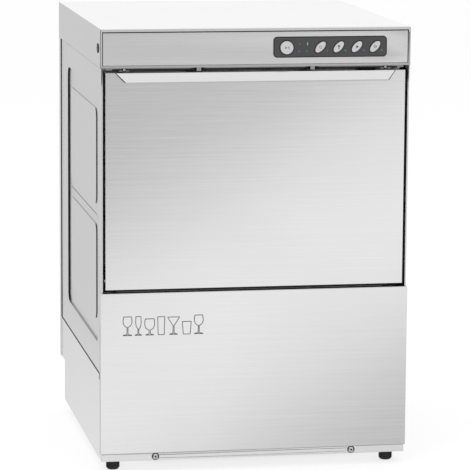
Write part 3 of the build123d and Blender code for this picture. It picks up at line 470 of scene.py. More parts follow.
# colour, roughness and what differs from the maker's own values
STEELS = {
    "casing_steel": ((0.79, 0.79, 0.79), 0.22, dict(bump=0.008)),
    "door_steel": ((0.80, 0.795, 0.797), 0.12),
    "base_steel": ((0.95, 0.95, 0.95), 0.24, dict(bump=0.008)),
    "inner_steel": ((0.62, 0.62, 0.63), 0.28, dict(stretch=(3, 3, 500))),
    "screw_steel": ((0.72, 0.72, 0.73), 0.16, dict(stretch=(900, 900, 900), grain=0.03)),
    # near-black steel that paints shade: on the bead walls facing front, at the lip's ends, in the screw
    # recesses and round the screw heads
    "dark_steel": ((0.035, 0.035, 0.038), 0.42, dict(stretch=(600, 600, 600), grain=0.1)),
    "spring_steel": ((0.42, 0.42, 0.43), 0.3, dict(stretch=(700, 700, 80))),
    "heater_steel": ((0.40, 0.37, 0.33), 0.34, dict(stretch=(300, 300, 300))),
    # mid grey steel that paints shade: on the header rail under the cap and on the bead walls facing up
    "shaded_steel": ((0.34, 0.34, 0.345), 0.3, dict(bump=0.01)),
    # darker steel that paints the dark reflection on the cover's front rail under the fascia
    "rail_steel": ((0.56, 0.56, 0.565), 0.26, dict(bump=0.01)),
    # dark steel for the tops of the pressed glass outlines: painted shade that draws them
    "etched_steel": ((0.19, 0.19, 0.20), 0.34, dict(bump=0.01)),
    "brass": ((0.78, 0.56, 0.26), 0.25, dict(stretch=(900, 60, 900))),
}
PLASTICS = {
    "motor_grey": ((0.16, 0.17, 0.19), 0.42, dict(scale=900.0, bump=0.2)),
    "panel_grey": ((0.058, 0.058, 0.060), 0.38, dict(scale=3200.0, bump=0.04)),
    "panel_rim": ((0.012, 0.012, 0.013), 0.32, dict(scale=3200.0, bump=0.03)),
    "button_grey": ((0.60, 0.60, 0.61), 0.36, dict(scale=3200.0, bump=0.03, coat=0.2)),
    "print_grey": ((0.20, 0.20, 0.21), 0.5, dict(scale=2000.0, bump=0.02)),
    "lens_green": ((0.045, 0.19, 0.16), 0.2, dict(scale=1500.0, bump=0.02, coat=0.6)),
    "lens_teal": ((0.045, 0.145, 0.165), 0.2, dict(scale=1500.0, bump=0.02, coat=0.6)),
    "lens_off": ((0.12, 0.12, 0.12), 0.25, dict(scale=1500.0, bump=0.02, coat=0.4)),
    "board_green": ((0.03, 0.16, 0.07), 0.35, dict(scale=700.0, bump=0.15)),
    "black_plastic": ((0.012, 0.012, 0.013), 0.5),
    "white_plastic": ((0.74, 0.74, 0.71), 0.4),
    "basket_blue": ((0.05, 0.13, 0.30), 0.42, dict(scale=1800.0, bump=0.12)),
    "black_rubber": ((0.012, 0.012, 0.012), 0.62, dict(scale=1900.0, bump=0.18)),
    "hose_black": ((0.02, 0.02, 0.021), 0.55, dict(scale=900.0, bump=0.2)),
    "hose_clear": ((0.60, 0.62, 0.64), 0.36, dict(scale=1200.0, bump=0.3)),
}
MATERIALS = {}


def make_materials():
    for maker, looks in ((steel, STEELS), (plastic, PLASTICS)):
        for name, (colour, roughness, *rest) in looks.items():
            MATERIALS[name] = maker(name, colour, roughness, **(rest[0] if rest else {}))


# ---- mesh helpers ----
def cube(bm, low, high):
    verts = bmesh.ops.create_cube(bm, size=1.0)["verts"]
    size = [h - l for l, h in zip(low, high)]
    middle = [(h + l) / 2 for l, h in zip(low, high)]
    bmesh.ops.scale(bm, vec=size, verts=verts)
    bmesh.ops.translate(bm, vec=middle, verts=verts)


def bevel(bm, edges, width, segments=3):
    bmesh.ops.bevel(bm, geom=list(edges), offset=width * MM, offset_type="OFFSET", segments=segments,
                    profile=0.5, affect="EDGES", clamp_overlap=True, material=-1)


def runs_along(edge, axis):
    way = (edge.verts[1].co - edge.verts[0].co).normalized()
    return abs(way[axis]) > 0.999


def at(edge, axis, value):
    return all(abs(v.co[axis] - value) < 1e-6 for v in edge.verts)


def faces_facing(bm, axis, sign):
    bm.normal_update()
    return [f for f in bm.faces if f.normal[axis] * sign > 0.999]


def cut(bm, axis, value, faces=None):
    """Scores a line across the mesh, or across some faces of it."""
    point, normal = Vector((0, 0, 0)), Vector((0, 0, 0))
    point[axis], normal[axis] = value, 1.0
    if faces is None:
        geom = bm.verts[:] + bm.edges[:] + bm.faces[:]
    else:
        geom = list({e for f in faces for e in f.edges}) + list(faces)
    bmesh.ops.bisect_plane(bm, geom=geom, plane_co=point, plane_no=normal, dist=1e-7)


def slide(bm, geom, x=0.0, y=0.0, z=0.0):
    """Moves the points among some new geometry, in metres."""
    bmesh.ops.translate(bm, vec=(x, y, z), verts=[v for v in geom if isinstance(v, bmesh.types.BMVert)])


def finish_piece(name, bm, node=None, material=None, slot=None, sheet=0.0, soften=0.0, smooth_angle=35.0,
                 body=None):
    """Turns a bmesh into a named piece that rides on a body and stands for its CAD node."""
    bmesh.ops.remove_doubles(bm, verts=bm.verts[:], dist=1e-7)
    if not sheet:
        bmesh.ops.recalc_face_normals(bm, faces=bm.faces[:])
    obj = as_object(name, bm)
    mesh = obj.data
    slot = slot or slot_of_node[node]
    chosen = material if isinstance(material, (list, tuple)) else [material or slot]
    for label in chosen:
        mesh.materials.append(MATERIALS[label])
    mesh.polygons.foreach_set("use_smooth", [True] * len(mesh.polygons))
    mesh.set_sharp_from_angle(angle=math.radians(smooth_angle))
    if sheet:
        solid = obj.modifiers.new("sheet", "SOLIDIFY")
        solid.thickness = sheet * MM
        solid.offset = -1
        solid.use_even_offset = True
    if soften:
        rounding = obj.modifiers.new("soft_edges", "BEVEL")
        rounding.width = soften * MM
        rounding.segments = 2
        rounding.limit_method = "ANGLE"
        rounding.angle_limit = math.radians(40)
        rounding.harden_normals = True
    flat = obj.modifiers.new("flat_faces_first", "WEIGHTED_NORMAL")
    flat.keep_sharp = True
    flat.weight = 80
    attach(obj, body or body_of_node[node])
    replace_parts(obj, *([node] if node else []))
    return obj


def pierced(bm, holes):
    """The closed shape bm with the shapes in holes cut away."""
    pair = [as_object("blank", bm), as_object("holes", holes)]
    cutter = pair[0].modifiers.new("holes", "BOOLEAN")
    cutter.object = pair[1]
    cutter.solver = "EXACT"
    result = bmesh.new()
    result.from_object(pair[0], bpy.context.evaluated_depsgraph_get())
    for obj in pair:
        bpy.data.objects.remove(obj)
    return result


def dressed(node, soften, material):
    """A copy of a CAD piece with its sharp edges eased."""
    bm = bmesh.new()
    bm.from_mesh(nodes[node].data)
    bmesh.ops.remove_doubles(bm, verts=bm.verts[:], dist=2e-6)
    bmesh.ops.dissolve_degenerate(bm, edges=bm.edges[:], dist=1e-6)
    return finish_piece(node + "_dressed", bm, node, material=material, soften=soften)


# ---- casing pieces ----
def top_hood():
    low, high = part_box("top_cover")
    bm = bmesh.new()
    cube(bm, low, high)
    bmesh.ops.delete(bm, geom=faces_facing(bm, 2, -1), context="FACES")
    front = faces_facing(bm, 1, -1)
    x_cuts = (low.x + COVER_POST * MM, high.x - COVER_POST * MM)
    z_cuts = (low.z + COVER_RAIL * MM, high.z - COVER_EDGE * MM)
    for axis, values in ((0, x_cuts), (2, z_cuts)):
        for value in values:
            cut(bm, axis, value, faces_facing(bm, 1, -1))
    middle = Vector((0, low.y, (z_cuts[0] + z_cuts[1]) / 2))
    window = min(faces_facing(bm, 1, -1), key=lambda f: (f.calc_center_median() - middle).length)
    rim = list(window.edges)
    bmesh.ops.delete(bm, geom=[window], context="FACES_ONLY")
    grown = bmesh.ops.extrude_edge_only(bm, edges=rim)["geom"]
    slide(bm, grown, y=4 * MM)
    lower = [e for e in bm.edges if at(e, 2, low.z) and at(e, 1, low.y)]
    grown = bmesh.ops.extrude_edge_only(bm, edges=lower)["geom"]
    slide(bm, grown, y=COVER_RETURN * MM)
    corners = [e for e in bm.edges if runs_along(e, 2) and (at(e, 0, low.x) or at(e, 0, high.x))]
    ridge = [e for e in bm.edges if at(e, 2, high.z)]
    bevel(bm, corners + ridge, BEND, 4)
    bm.normal_update()
    # painted reflection: the cover's front rail under the fascia takes a darker steel for the dark things it
    # mirrors
    for f in faces_facing(bm, 1, -1):
        if f.calc_center_median().z < z_cuts[0]:
            f.material_index = 1
    return finish_piece("top_hood", bm, "top_cover", material=["casing_steel", "rail_steel"],
                        sheet=CASING_SHEET, soften=0.15)


def folded_tray(node, bend, segments=4, low=None, high=None):
    """A sheet tray that is open at the back, with its front corners folded."""
    box_low, box_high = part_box(node)
    low, high = low or box_low, high or box_high
    bm = bmesh.new()
    cube(bm, low, high)
    bmesh.ops.delete(bm, geom=faces_facing(bm, 1, 1), context="FACES")
    bevel(bm, [e for e in bm.edges if at(e, 1, low.y) and runs_along(e, 0)], min(bend, 0.9), segments)
    bm.normal_update()
    upright = [e for e in bm.edges if runs_along(e, 2) and at(e, 1, low.y)]
    bevel(bm, upright, bend, segments + 2)
    return bm


def control_fascia():
    low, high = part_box("control_fascia")
    bm = folded_tray("control_fascia", 0.8, low=low - Vector((0, 0, 0.95 * MM)), high=high)
    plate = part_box("control_panel_plate")
    middle = (plate[0] + plate[1]) / 2
    for axis, value in ((0, plate[0].x + WINDOW_INSET * MM), (0, plate[1].x - WINDOW_INSET * MM),
                        (2, middle.z - WINDOW_RISE * MM), (2, middle.z + WINDOW_RISE * MM)):
        cut(bm, axis, value, faces_facing(bm, 1, -1))
    window = min(faces_facing(bm, 1, -1), key=lambda f: (f.calc_center_median() - middle).length)
    bmesh.ops.delete(bm, geom=[window], context="FACES")
    return finish_piece("fascia_plate", bm, "control_fascia", sheet=CASING_SHEET)


def lower_front():
    bm = folded_tray("lower_front_panel", PANEL_BEND)
    return finish_piece("lower_front", bm, "lower_front_panel", sheet=CASING_SHEET)


def side_panel(side):
    """Side sheet with the pressed ladder bead, its front strip and fold."""
    node = "side_panel_left" if side < 0 else "side_panel_right"
    low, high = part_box(node)
    outer = low.x if side < 0 else high.x
    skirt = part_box("top_cover")[0].z
    bm = bmesh.new()
    corners = [(low.y, low.z), (high.y, low.z), (high.y, high.z), (low.y, high.z)]
    verts = [bm.verts.new((outer, y, z)) for y, z in corners]
    bm.faces.new(verts if side > 0 else verts[::-1])
    d0, d1 = low.y + BEAD_FRONT * MM, high.y - BEAD_BACK * MM
    z0, z1 = low.z + BEAD_BELOW * MM, skirt - BEAD_ABOVE * MM
    width, mid = BEAD_WIDTH * MM, (z0 + z1) / 2
    for y in (d0, d0 + width, d1 - width, d1):
        cut(bm, 1, y)
    for z in (z0, z0 + width, mid - width / 2, mid + width / 2, z1 - width, z1, skirt - 0.3 * MM):
        cut(bm, 2, z)

    def inside(face, y0, y1, a, b):
        c = face.calc_center_median()
        return y0 < c.y < y1 and a < c.z < b

    loop = [f for f in bm.faces if inside(f, d0, d1, z0, z1)]
    pressed = bmesh.ops.extrude_face_region(bm, geom=loop)["geom"]
    bmesh.ops.delete(bm, geom=[f for f in loop if f.is_valid], context="FACES_ONLY")
    slide(bm, pressed, x=-side * BEAD_DEPTH * MM)
    floor = [f for f in bm.faces if abs(f.calc_center_median().x - (outer - side * BEAD_DEPTH * MM)) < 1e-6]
    fields = [f for f in floor if inside(f, d0 + width, d1 - width, z0 + width, mid - width / 2)
              or inside(f, d0 + width, d1 - width, mid + width / 2, z1 - width)]
    raised = bmesh.ops.extrude_face_region(bm, geom=fields)["geom"]
    bmesh.ops.delete(bm, geom=[f for f in fields if f.is_valid], context="FACES_ONLY")
    slide(bm, raised, x=side * FIELD_RISE * MM)
    bm.normal_update()
    posts = [e for e in bm.edges if runs_along(e, 0) and len(e.link_faces) == 2
             and e.link_faces[0].normal.angle(e.link_faces[1].normal, 0) > 1.0]
    bevel(bm, posts, BEAD_CORNER, 7)
    bm.normal_update()
    rims = [e for e in bm.edges if len(e.link_faces) == 2 and not runs_along(e, 0)
            and e.link_faces[0].normal.angle(e.link_faces[1].normal, 0) > 1.0]
    bevel(bm, rims, 0.95, 3)
    front = [e for e in bm.edges if at(e, 1, low.y) and e.verts[0].co.z < skirt and e.verts[1].co.z < skirt
             and len(e.link_faces) == 1]
    strip = bmesh.ops.extrude_edge_only(bm, edges=front)["geom"]
    slide(bm, strip, x=-side * JAMB_STRIP * MM)
    inner = [e for e in strip if isinstance(e, bmesh.types.BMEdge) and runs_along(e, 2)
             and abs(e.verts[0].co.x - (outer - side * JAMB_STRIP * MM)) < 1e-6]
    fold = bmesh.ops.extrude_edge_only(bm, edges=inner)["geom"]
    slide(bm, fold, y=JAMB_FOLD * MM)
    bmesh.ops.recalc_face_normals(bm, faces=bm.faces[:])
    flat = max(bm.faces, key=lambda f: f.calc_area())
    if flat.normal.x * side < 0:
        bmesh.ops.reverse_faces(bm, faces=bm.faces[:])
    bm.normal_update()
    # painted shade: bead walls facing front take the near-black steel, walls facing up the mid grey shaded
    # steel
    for f in bm.faces:
        c = f.calc_center_median()
        if c.y > low.y + 6 * MM and f.normal.y < -0.3:
            f.material_index = 1
        elif c.y > low.y + 6 * MM and f.normal.z > 0.3 and c.z < z1 - 6 * MM:
            f.material_index = 2
    return finish_piece("side_sheet_left" if side < 0 else "side_sheet_right", bm, node,
                        material=["casing_steel", "dark_steel", "shaded_steel"], sheet=0.8, smooth_angle=50)


def joint_shadow_strips():
    """Black strips that paint the shadow in the casing's joints: under the side sheets, round the fascia, at
    the rear cover, along the lower panel's top and under the header rail beside the catch tongues.
    """
    bm = bmesh.new()
    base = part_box("base_frame")
    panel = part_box("lower_front_panel")
    for side in (-1, 1):
        low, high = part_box("side_panel_left" if side < 0 else "side_panel_right")
        outer = low.x if side < 0 else high.x

        def bar(x0, x1, *rest):
            a, b = outer - side * x0 * MM, outer - side * x1 * MM
            cube(bm, (min(a, b), rest[0], rest[2]), (max(a, b), rest[1], rest[3]))

        bar(-0.3, 6.0, low.y + 0.5 * MM, high.y - 0.5 * MM, base[1].z - 0.4 * MM, low.z + 0.4 * MM)
        bar(-0.75, 0.1, panel[1].y, panel[1].y + 9.0 * MM, base[1].z - 7.0 * MM, low.z)
        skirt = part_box("top_cover")[0].z
        bar(-0.5, 0.2, low.y + 2.0 * MM, high.y - 0.5 * MM, skirt - 0.75 * MM, skirt - 0.05 * MM)
        bar(-0.75, 2.2, high.y + 0.1 * MM, high.y + 6 * MM, low.z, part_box("top_cover")[0].z - 0.5 * MM)
    low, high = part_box("control_fascia")
    edge = 1.6 * MM
    for a, b in (((low.x - edge, low.z - edge), (low.x + edge, high.z + edge)),
                 ((high.x - edge, low.z - edge), (high.x + edge, high.z + edge)),
                 ((low.x - edge, high.z - edge), (high.x + edge, high.z + edge))):
        cube(bm, (a[0], low.y + 0.5 * MM, a[1]), (b[0], low.y + 3.0 * MM, b[1]))
    for x0, z0, x1, z1 in ((low.x - 0.9 * MM, high.z - 0.3 * MM, high.x + 0.9 * MM, high.z + 0.9 * MM),
                           (high.x - 0.3 * MM, low.z - 0.9 * MM, high.x + 0.9 * MM, high.z + 0.9 * MM)):
        cube(bm, (x0, low.y - 0.12 * MM, z0), (x1, low.y + 0.6 * MM, z1))
    cube(bm, (panel[0].x + 3 * MM, panel[0].y + 0.35 * MM, panel[1].z - 0.4 * MM),
         (panel[1].x - 3 * MM, panel[0].y + 10 * MM, panel[1].z + 0.06 * MM))
    low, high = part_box("header_rail")
    rail_edge = low.z + 1.6 * MM
    tongue = (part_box("catch_tongue_right")[0].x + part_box("catch_tongue_right")[1].x) / 2 / MM
    for a, b, rise in ((-198, -tongue - 2, 1.6), (2 - tongue, tongue - 2, 1.6), (tongue + 2, 198, 1.6),
                       (-tongue - 6, -tongue + 6, 1.3), (tongue - 6, tongue + 6, 1.3),
                       (-tongue - 6, -tongue - 2, 3.0), (2 - tongue, 6 - tongue, 3.0),
                       (tongue - 6, tongue - 2, 3.0), (tongue + 2, tongue + 6, 3.0)):
        cube(bm, (a * MM, low.y - 0.35 * MM, rail_edge - 0.2 * MM),
             (b * MM, low.y - 0.05 * MM, rail_edge + rise * MM))
    # the black rubber material here paints the shadow in the gaps
    return finish_piece("casing_joint_shadow_strips", bm, material="black_rubber", slot="black_rubber", body="casing")


def rear_cover():
    bm = bmesh.new()
    bm.from_mesh(nodes["rear_cover"].data)
    bmesh.ops.remove_doubles(bm, verts=bm.verts[:], dist=2e-6)
    bmesh.ops.dissolve_limit(bm, angle_limit=math.radians(1), verts=bm.verts[:], edges=bm.edges[:])
    return finish_piece("rear_tray", bm, "rear_cover", soften=0.3)


def rear_skirts():
    """Light sheets that close the sides between the base and the rear cover."""
    base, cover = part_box("base_frame"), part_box("rear_cover")
    bm = bmesh.new()
    for node, side in (("side_panel_left", -1), ("side_panel_right", 1)):
        low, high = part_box(node)
        outer = low.x if side < 0 else high.x
        inner = outer - side * MM
        cube(bm, (min(outer, inner), base[1].y + 0.2 * MM, cover[0].z),
             (max(outer, inner), cover[1].y - 3 * MM, low.z))
    return finish_piece("rear_skirts", bm, material="base_steel", slot=slot_of_node["rear_cover"],
                        soften=0.2, body="casing")


# ---- door ----
def door_skin():
    low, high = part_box("door_outer_skin")
    low = Vector((low.x, low.y + LIP_OUT * MM, low.z))
    bm = folded_tray("door_outer_skin", DOOR_BEND, low=low, high=high)
    near, far = (inset * MM for inset in SPRING_SLOT)
    back = low.y + SPRING_SLOT_BACK * MM
    for axis, value in ((0, low.x + far), (0, low.x + near), (0, high.x - far), (0, high.x - near),
                        (1, back)):
        cut(bm, axis, value, faces_facing(bm, 2, -1))
    slots = [f for f in faces_facing(bm, 2, -1) if f.calc_center_median().y > back
             and near < high.x - abs(f.calc_center_median().x) < far]
    bmesh.ops.delete(bm, geom=slots, context="FACES")
    return finish_piece("door_skin", bm, "door_outer_skin", sheet=CASING_SHEET)


def door_lip():
    """Handle lip: sheet folded forward and down from the door's top edge, with mitred ends."""
    low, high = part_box("door_outer_skin")
    face = low.y + LIP_OUT * MM
    wide = high.x - LIP_INSET * MM
    narrow = wide - LIP_DROP * MM
    top = high.z
    rows = [(wide, face + 0.9 * MM, top - 0.2 * MM), (wide - 0.4 * MM, face, top),
            (narrow, low.y + 0.3 * MM, top - (LIP_DROP - 0.3) * MM),
            (narrow, low.y + 0.6 * MM, top - (LIP_DROP + 1.2) * MM)]
    bm = bmesh.new()
    ends = [[bm.verts.new((sx * x, y, z)) for sx in (-1, 1)] for x, y, z in rows]
    for upper, lower in zip(ends, ends[1:]):
        bm.faces.new((upper[0], lower[0], lower[1], upper[1]))
    bmesh.ops.recalc_face_normals(bm, faces=bm.faces[:])
    bm.normal_update()
    if max(bm.faces, key=lambda f: f.calc_area()).normal.y > 0:
        bmesh.ops.reverse_faces(bm, faces=bm.faces[:])
    folds = [e for e in bm.edges if len(e.link_faces) == 2]
    bevel(bm, folds, 0.5, 3)
    return finish_piece("door_lip", bm, material="door_steel", slot="door_steel", sheet=LIP_SHEET,
                        soften=0.12, body="door")


def lip_end_shadows():
    """Painted shadow: dark strips along the mitre edges where the lip's ends leave the door's face."""
    low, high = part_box("door_outer_skin")
    wide = high.x - LIP_INSET * MM
    narrow = wide - LIP_DROP * MM
    top = high.z
    bm = bmesh.new()
    for side in (-1, 1):
        rows = [(wide, low.y + (LIP_OUT - 0.1) * MM, top),
                (narrow, low.y + 0.5 * MM, top - (LIP_DROP + 0.3) * MM)]
        inner = [bm.verts.new((side * (x - 0.2 * MM), y, z)) for x, y, z in rows]
        outer = [bm.verts.new((side * (x + 0.75 * MM), y, z)) for x, y, z in rows]
        corners = (inner[0], inner[1], outer[1], outer[0])
        bm.faces.new(corners if side > 0 else (corners[0],) + corners[:0:-1])
    bm.normal_update()
    bmesh.ops.reverse_faces(bm, faces=[f for f in bm.faces if f.normal.y > 0])
    return finish_piece("lip_end_shadows", bm, material="dark_steel", slot="door_steel", sheet=0.4, body="door")


def wound_springs():
    """Two extension springs: a wound coil between straight end wires with cross bars."""
    low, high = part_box("door_springs")
    y, top = (low.y + high.y) / 2, high.z - SPRING_END * MM
    foot, crown = high.z - SPRING_FOOT * MM, high.z - SPRING_CROWN * MM
    turns, sides = 46, 14
    bm = bmesh.new()
    for side in (-1, 1):
        x = side * (high.x - COIL_SIDE * MM)
        wire = bmesh.ops.create_circle(bm, segments=8, radius=WIRE_RADIUS * MM)["verts"]
        place = Matrix.Translation((x + COIL_RADIUS * MM, y, foot + 0.7 * MM))
        bmesh.ops.transform(bm, matrix=place @ UPRIGHT, verts=wire)
        edges = list({e for v in wire for e in v.link_edges})
        lift = (crown - foot - 1.4 * MM) / (turns * sides)
        bmesh.ops.spin(bm, geom=wire + edges, cent=(x, y, foot), axis=(0, 0, 1), dvec=(0, 0, lift),
                       angle=math.tau * turns, steps=turns * sides)
        for z0, z1 in ((low.z, foot + 1.5 * MM), (crown - 1.5 * MM, top)):
            made = bmesh.ops.create_cone(bm, cap_ends=True, segments=16, radius1=END_RADIUS * MM,
                                         radius2=END_RADIUS * MM, depth=z1 - z0)["verts"]
            bmesh.ops.translate(bm, vec=(x, y, (z0 + z1) / 2), verts=made)
        for z in (foot - 0.3 * MM, crown + 0.3 * MM):
            cube(bm, (x - 4.0 * MM, y - 0.8 * MM, z - 0.7 * MM), (x + 4.0 * MM, y + 0.8 * MM, z + 0.7 * MM))
    return finish_piece("wound_springs", bm, "door_springs", smooth_angle=60)


# ---- controls ----
def solids_of(node):
    """Lowest and highest corner of every separate solid of a node."""
    bm = bmesh.new()
    bm.from_mesh(nodes[node].data)
    bmesh.ops.remove_doubles(bm, verts=bm.verts[:], dist=2e-6)
    left = set(bm.verts)
    found = []
    while left:
        stack = [left.pop()]
        island = []
        while stack:
            v = stack.pop()
            island.append(v.co.copy())
            for e in v.link_edges:
                other = e.other_vert(v)
                if other in left:
                    left.discard(other)
                    stack.append(other)
        found.append([Vector([pick(p[i] for p in island) for i in range(3)]) for pick in (min, max)])
    bm.free()
    return found


def disc(bm, centre, long, short, tilt, depth, steps, sides=48):
    """A raised disc or oval facing the front. steps are (inset, rise) pairs in millimetres."""
    made = bmesh.ops.create_circle(bm, cap_ends=True, segments=sides, radius=1.0)["verts"]
    shape = Matrix.Diagonal((long / 2 * MM, short / 2 * MM, 1, 1))
    place = Matrix.Translation(centre) @ UPRIGHT @ Matrix.Rotation(math.radians(tilt), 4, "Z") @ shape
    bmesh.ops.transform(bm, matrix=place, verts=made)
    face = next(f for f in made[0].link_faces if len(f.verts) == sides)
    if face.normal.y > 0:
        bmesh.ops.reverse_faces(bm, faces=[face])
    bm.normal_update()
    grown = bmesh.ops.extrude_face_region(bm, geom=[face])["geom"]
    if face.is_valid:
        bmesh.ops.delete(bm, geom=[face], context="FACES_ONLY")
    slide(bm, grown, y=-depth * MM)
    cap = next(f for f in grown if isinstance(f, bmesh.types.BMFace))
    for inset, rise in steps:
        cap.normal_update()
        bmesh.ops.inset_region(bm, faces=[cap], thickness=inset * MM, depth=0, use_even_offset=True)
        bmesh.ops.translate(bm, vec=(0, -rise * MM, 0), verts=list(cap.verts))
    return cap


def ring(bm, centre, long, short, tilt, width, rise, sides=48):
    """A flat raised oval ring facing the front."""
    loops = []
    tilted = Matrix.Rotation(math.radians(tilt), 4, "Z")
    for grow, lift in ((0, 0), (0, -rise), (-2 * width, -rise), (-2 * width, 0)):
        made = bmesh.ops.create_circle(bm, cap_ends=False, segments=sides, radius=1.0)["verts"]
        shape = Matrix.Diagonal(((long + grow) / 2 * MM, (short + grow) / 2 * MM, 1, 1))
        place = Matrix.Translation(Vector(centre) + Vector((0, lift * MM, 0))) @ UPRIGHT
        bmesh.ops.transform(bm, matrix=place @ tilted @ shape, verts=made)
        loops.append(list({e for v in made for e in v.link_edges}))
    for a, b in zip(loops, loops[1:] + loops[:1]):
        bmesh.ops.bridge_loops(bm, edges=a + b)


def control_plate():
    low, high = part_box("control_panel_plate")
    bm = bmesh.new()
    cube(bm, low, high)
    bevel(bm, [e for e in bm.edges if runs_along(e, 1)], PLATE_CORNER, 10)
    face = max(faces_facing(bm, 1, -1), key=lambda f: f.calc_area())
    bevel(bm, face.edges, 0.35, 2)
    face = max(faces_facing(bm, 1, -1), key=lambda f: f.calc_area())
    for f in bm.faces:
        f.material_index = 1
    bmesh.ops.inset_region(bm, faces=[face], thickness=0.9 * MM, depth=0)
    bmesh.ops.inset_region(bm, faces=[face], thickness=0.15 * MM, depth=-0.12 * MM)
    face.material_index = 0
    holes = bmesh.new()
    for node, long, short, tilt in [("start_button", START_DIAMETER, START_DIAMETER, 0)] + \
            [(f"program_button_{k}", OVAL_LONG, OVAL_SHORT, OVAL_TILT) for k in range(1, 5)]:
        c = centre_of(node)
        disc(holes, (c.x, high.y + MM, c.z), long + 2 * KEY_GAP, short + 2 * KEY_GAP, tilt, 4, [])
    return finish_piece("control_plate", pierced(bm, holes), "control_panel_plate",
                        material=["panel_grey", "panel_rim"])


def centre_of(node):
    low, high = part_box(node)
    return (low + high) / 2


def button_surrounds():
    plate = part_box("control_panel_plate")[0].y
    bm = bmesh.new()
    c = centre_of("start_button")
    ring(bm, (c.x, plate + 0.1 * MM, c.z), START_DIAMETER + 3.0, START_DIAMETER + 3.0, 0, 1.4, 0.25, 64)
    for k in range(1, 5):
        c = centre_of(f"program_button_{k}")
        ring(bm, (c.x, plate + 0.1 * MM, c.z), OVAL_LONG + 2.8, OVAL_SHORT + 2.8, OVAL_TILT, 1.3, 0.25)
    return finish_piece("button_surrounds", bm, material="panel_rim", slot="panel_grey", body="casing")


def start_key():
    low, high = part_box("start_button")
    c = centre_of("start_button")
    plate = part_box("control_panel_plate")[0].y
    bm = bmesh.new()
    disc(bm, (c.x, plate + 0.4 * MM, c.z), START_DIAMETER, START_DIAMETER, 0, 2.2,
         [(0.25, 0.28), (0.35, 0.16), (0.9, 0.1), (0.3, -0.18), (1.2, 0.12), (2.5, 0.1)], 64)
    return finish_piece("start_key", bm, "start_button", smooth_angle=60)


def start_mark():
    """A plain start sign: a triangle and a bar."""
    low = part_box("start_button")[0]
    c = centre_of("start_button")
    bm = bmesh.new()
    y = low.y + 0.22 * MM
    tri = bmesh.ops.create_circle(bm, cap_ends=True, segments=3, radius=2.3 * MM)["verts"]
    bmesh.ops.rotate(bm, verts=tri, cent=(0, 0, 0), matrix=Matrix.Rotation(math.radians(-90), 3, "Z"))
    bmesh.ops.transform(bm, matrix=Matrix.Translation((c.x - 1.6 * MM, y, c.z)) @ UPRIGHT, verts=tri)
    grown = bmesh.ops.extrude_face_region(bm, geom=bm.faces[:])["geom"]
    slide(bm, grown, y=-0.12 * MM)
    cube(bm, (c.x + 1.9 * MM, y - 0.12 * MM, c.z - 2.1 * MM), (c.x + 3.0 * MM, y, c.z + 2.1 * MM))
    return finish_piece("start_mark", bm, material="print_grey", slot="button_grey", body="start_key")


def lens_places():
    """Middle of each lamp, from the left."""
    return sorted(((low.x + high.x) / 2, (low.z + high.z) / 2) for low, high in solids_of("indicator_lenses"))


def heat_sign():
    """Small bulb-and-stem sign over the fourth lamp from the left."""
    x, z = lens_places()[3]
    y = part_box("indicator_lenses")[0].y - 0.55 * MM
    bm = bmesh.new()
    disc(bm, (x, y, z - 1.2 * MM), 1.3, 1.3, 0, 0.1, [], 20)
    cube(bm, (x - 0.3 * MM, y - 0.1 * MM, z - 1.0 * MM), (x + 0.3 * MM, y, z + 2.4 * MM))
    return finish_piece("heat_sign", bm, material="button_grey", slot="panel_grey", body="casing")


def program_key(k):
    node = f"program_button_{k}"
    c = centre_of(node)
    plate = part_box("control_panel_plate")[0].y
    bm = bmesh.new()
    disc(bm, (c.x, plate + 0.4 * MM, c.z), OVAL_LONG, OVAL_SHORT, OVAL_TILT, 1.9,
         [(0.2, 0.22), (0.3, 0.1), (0.75, 0.06), (0.22, -0.14), (0.9, 0.08)])
    return finish_piece(f"program_key_{k}", bm, node, smooth_angle=60)


# half outlines of drinking glasses, width and height in millimetres, for the pressed row and the key signs
GLASSES = {
    "wine": [(6.4, 0), (6.4, 1.3), (1.3, 2.4), (1.1, 11.5), (4.2, 13.4), (6.4, 17), (6.7, 21), (5.7, 27)],
    "flute": [(5.0, 0), (5.0, 1.3), (1.2, 2.4), (1.1, 9), (3.4, 12.2), (4.3, 18), (3.9, 27)],
    "tumbler": [(5.0, 0), (5.4, 1.0), (6.6, 18.5)],
    "bowl": [(5.8, 0), (5.8, 1.3), (1.3, 2.4), (1.2, 12.5), (8.4, 23.8), (8.4, 25.2)],
    "goblet": [(5.8, 0), (5.8, 1.3), (1.4, 2.4), (1.4, 7.2), (5.6, 9.4), (7.2, 14), (7.2, 20), (6.4, 23.5)],
    "tall": [(4.4, 0), (4.7, 1.0), (5.4, 26)],
}


def glass_shape(bm, kind, place, height, size=1.0, hollow=0.95):
    """A raised glass outline facing the front, standing at a place on a sheet."""
    half = GLASSES[kind]
    points = [(x, z) for x, z in half] + [(-x, z) for x, z in reversed(half)]
    verts = [bm.verts.new(Vector(place) + Vector((x * size * MM, 0, z * size * MM))) for x, z in points]
    face = bm.faces.new(verts)
    face.normal_update()
    if face.normal.y > 0:
        face.normal_flip()
    grown = bmesh.ops.extrude_face_region(bm, geom=[face])["geom"]
    if face.is_valid:
        bmesh.ops.delete(bm, geom=[face], context="FACES_ONLY")
    slide(bm, grown, y=-height * MM)
    cap = next(f for f in grown if isinstance(f, bmesh.types.BMFace))
    if hollow:
        cap.normal_update()
        rim = bmesh.ops.inset_region(bm, faces=[cap], thickness=hollow * size * MM, depth=0,
                                     use_even_offset=True)
        # painted shade: the raised rim takes the second, dark material
        for f in rim["faces"]:
            f.material_index = 1
        bmesh.ops.inset_region(bm, faces=[cap], thickness=0.12 * size * MM, depth=0, use_even_offset=True)
        bmesh.ops.translate(bm, vec=(0, 0.8 * height * MM, 0), verts=list(cap.verts))
    return cap


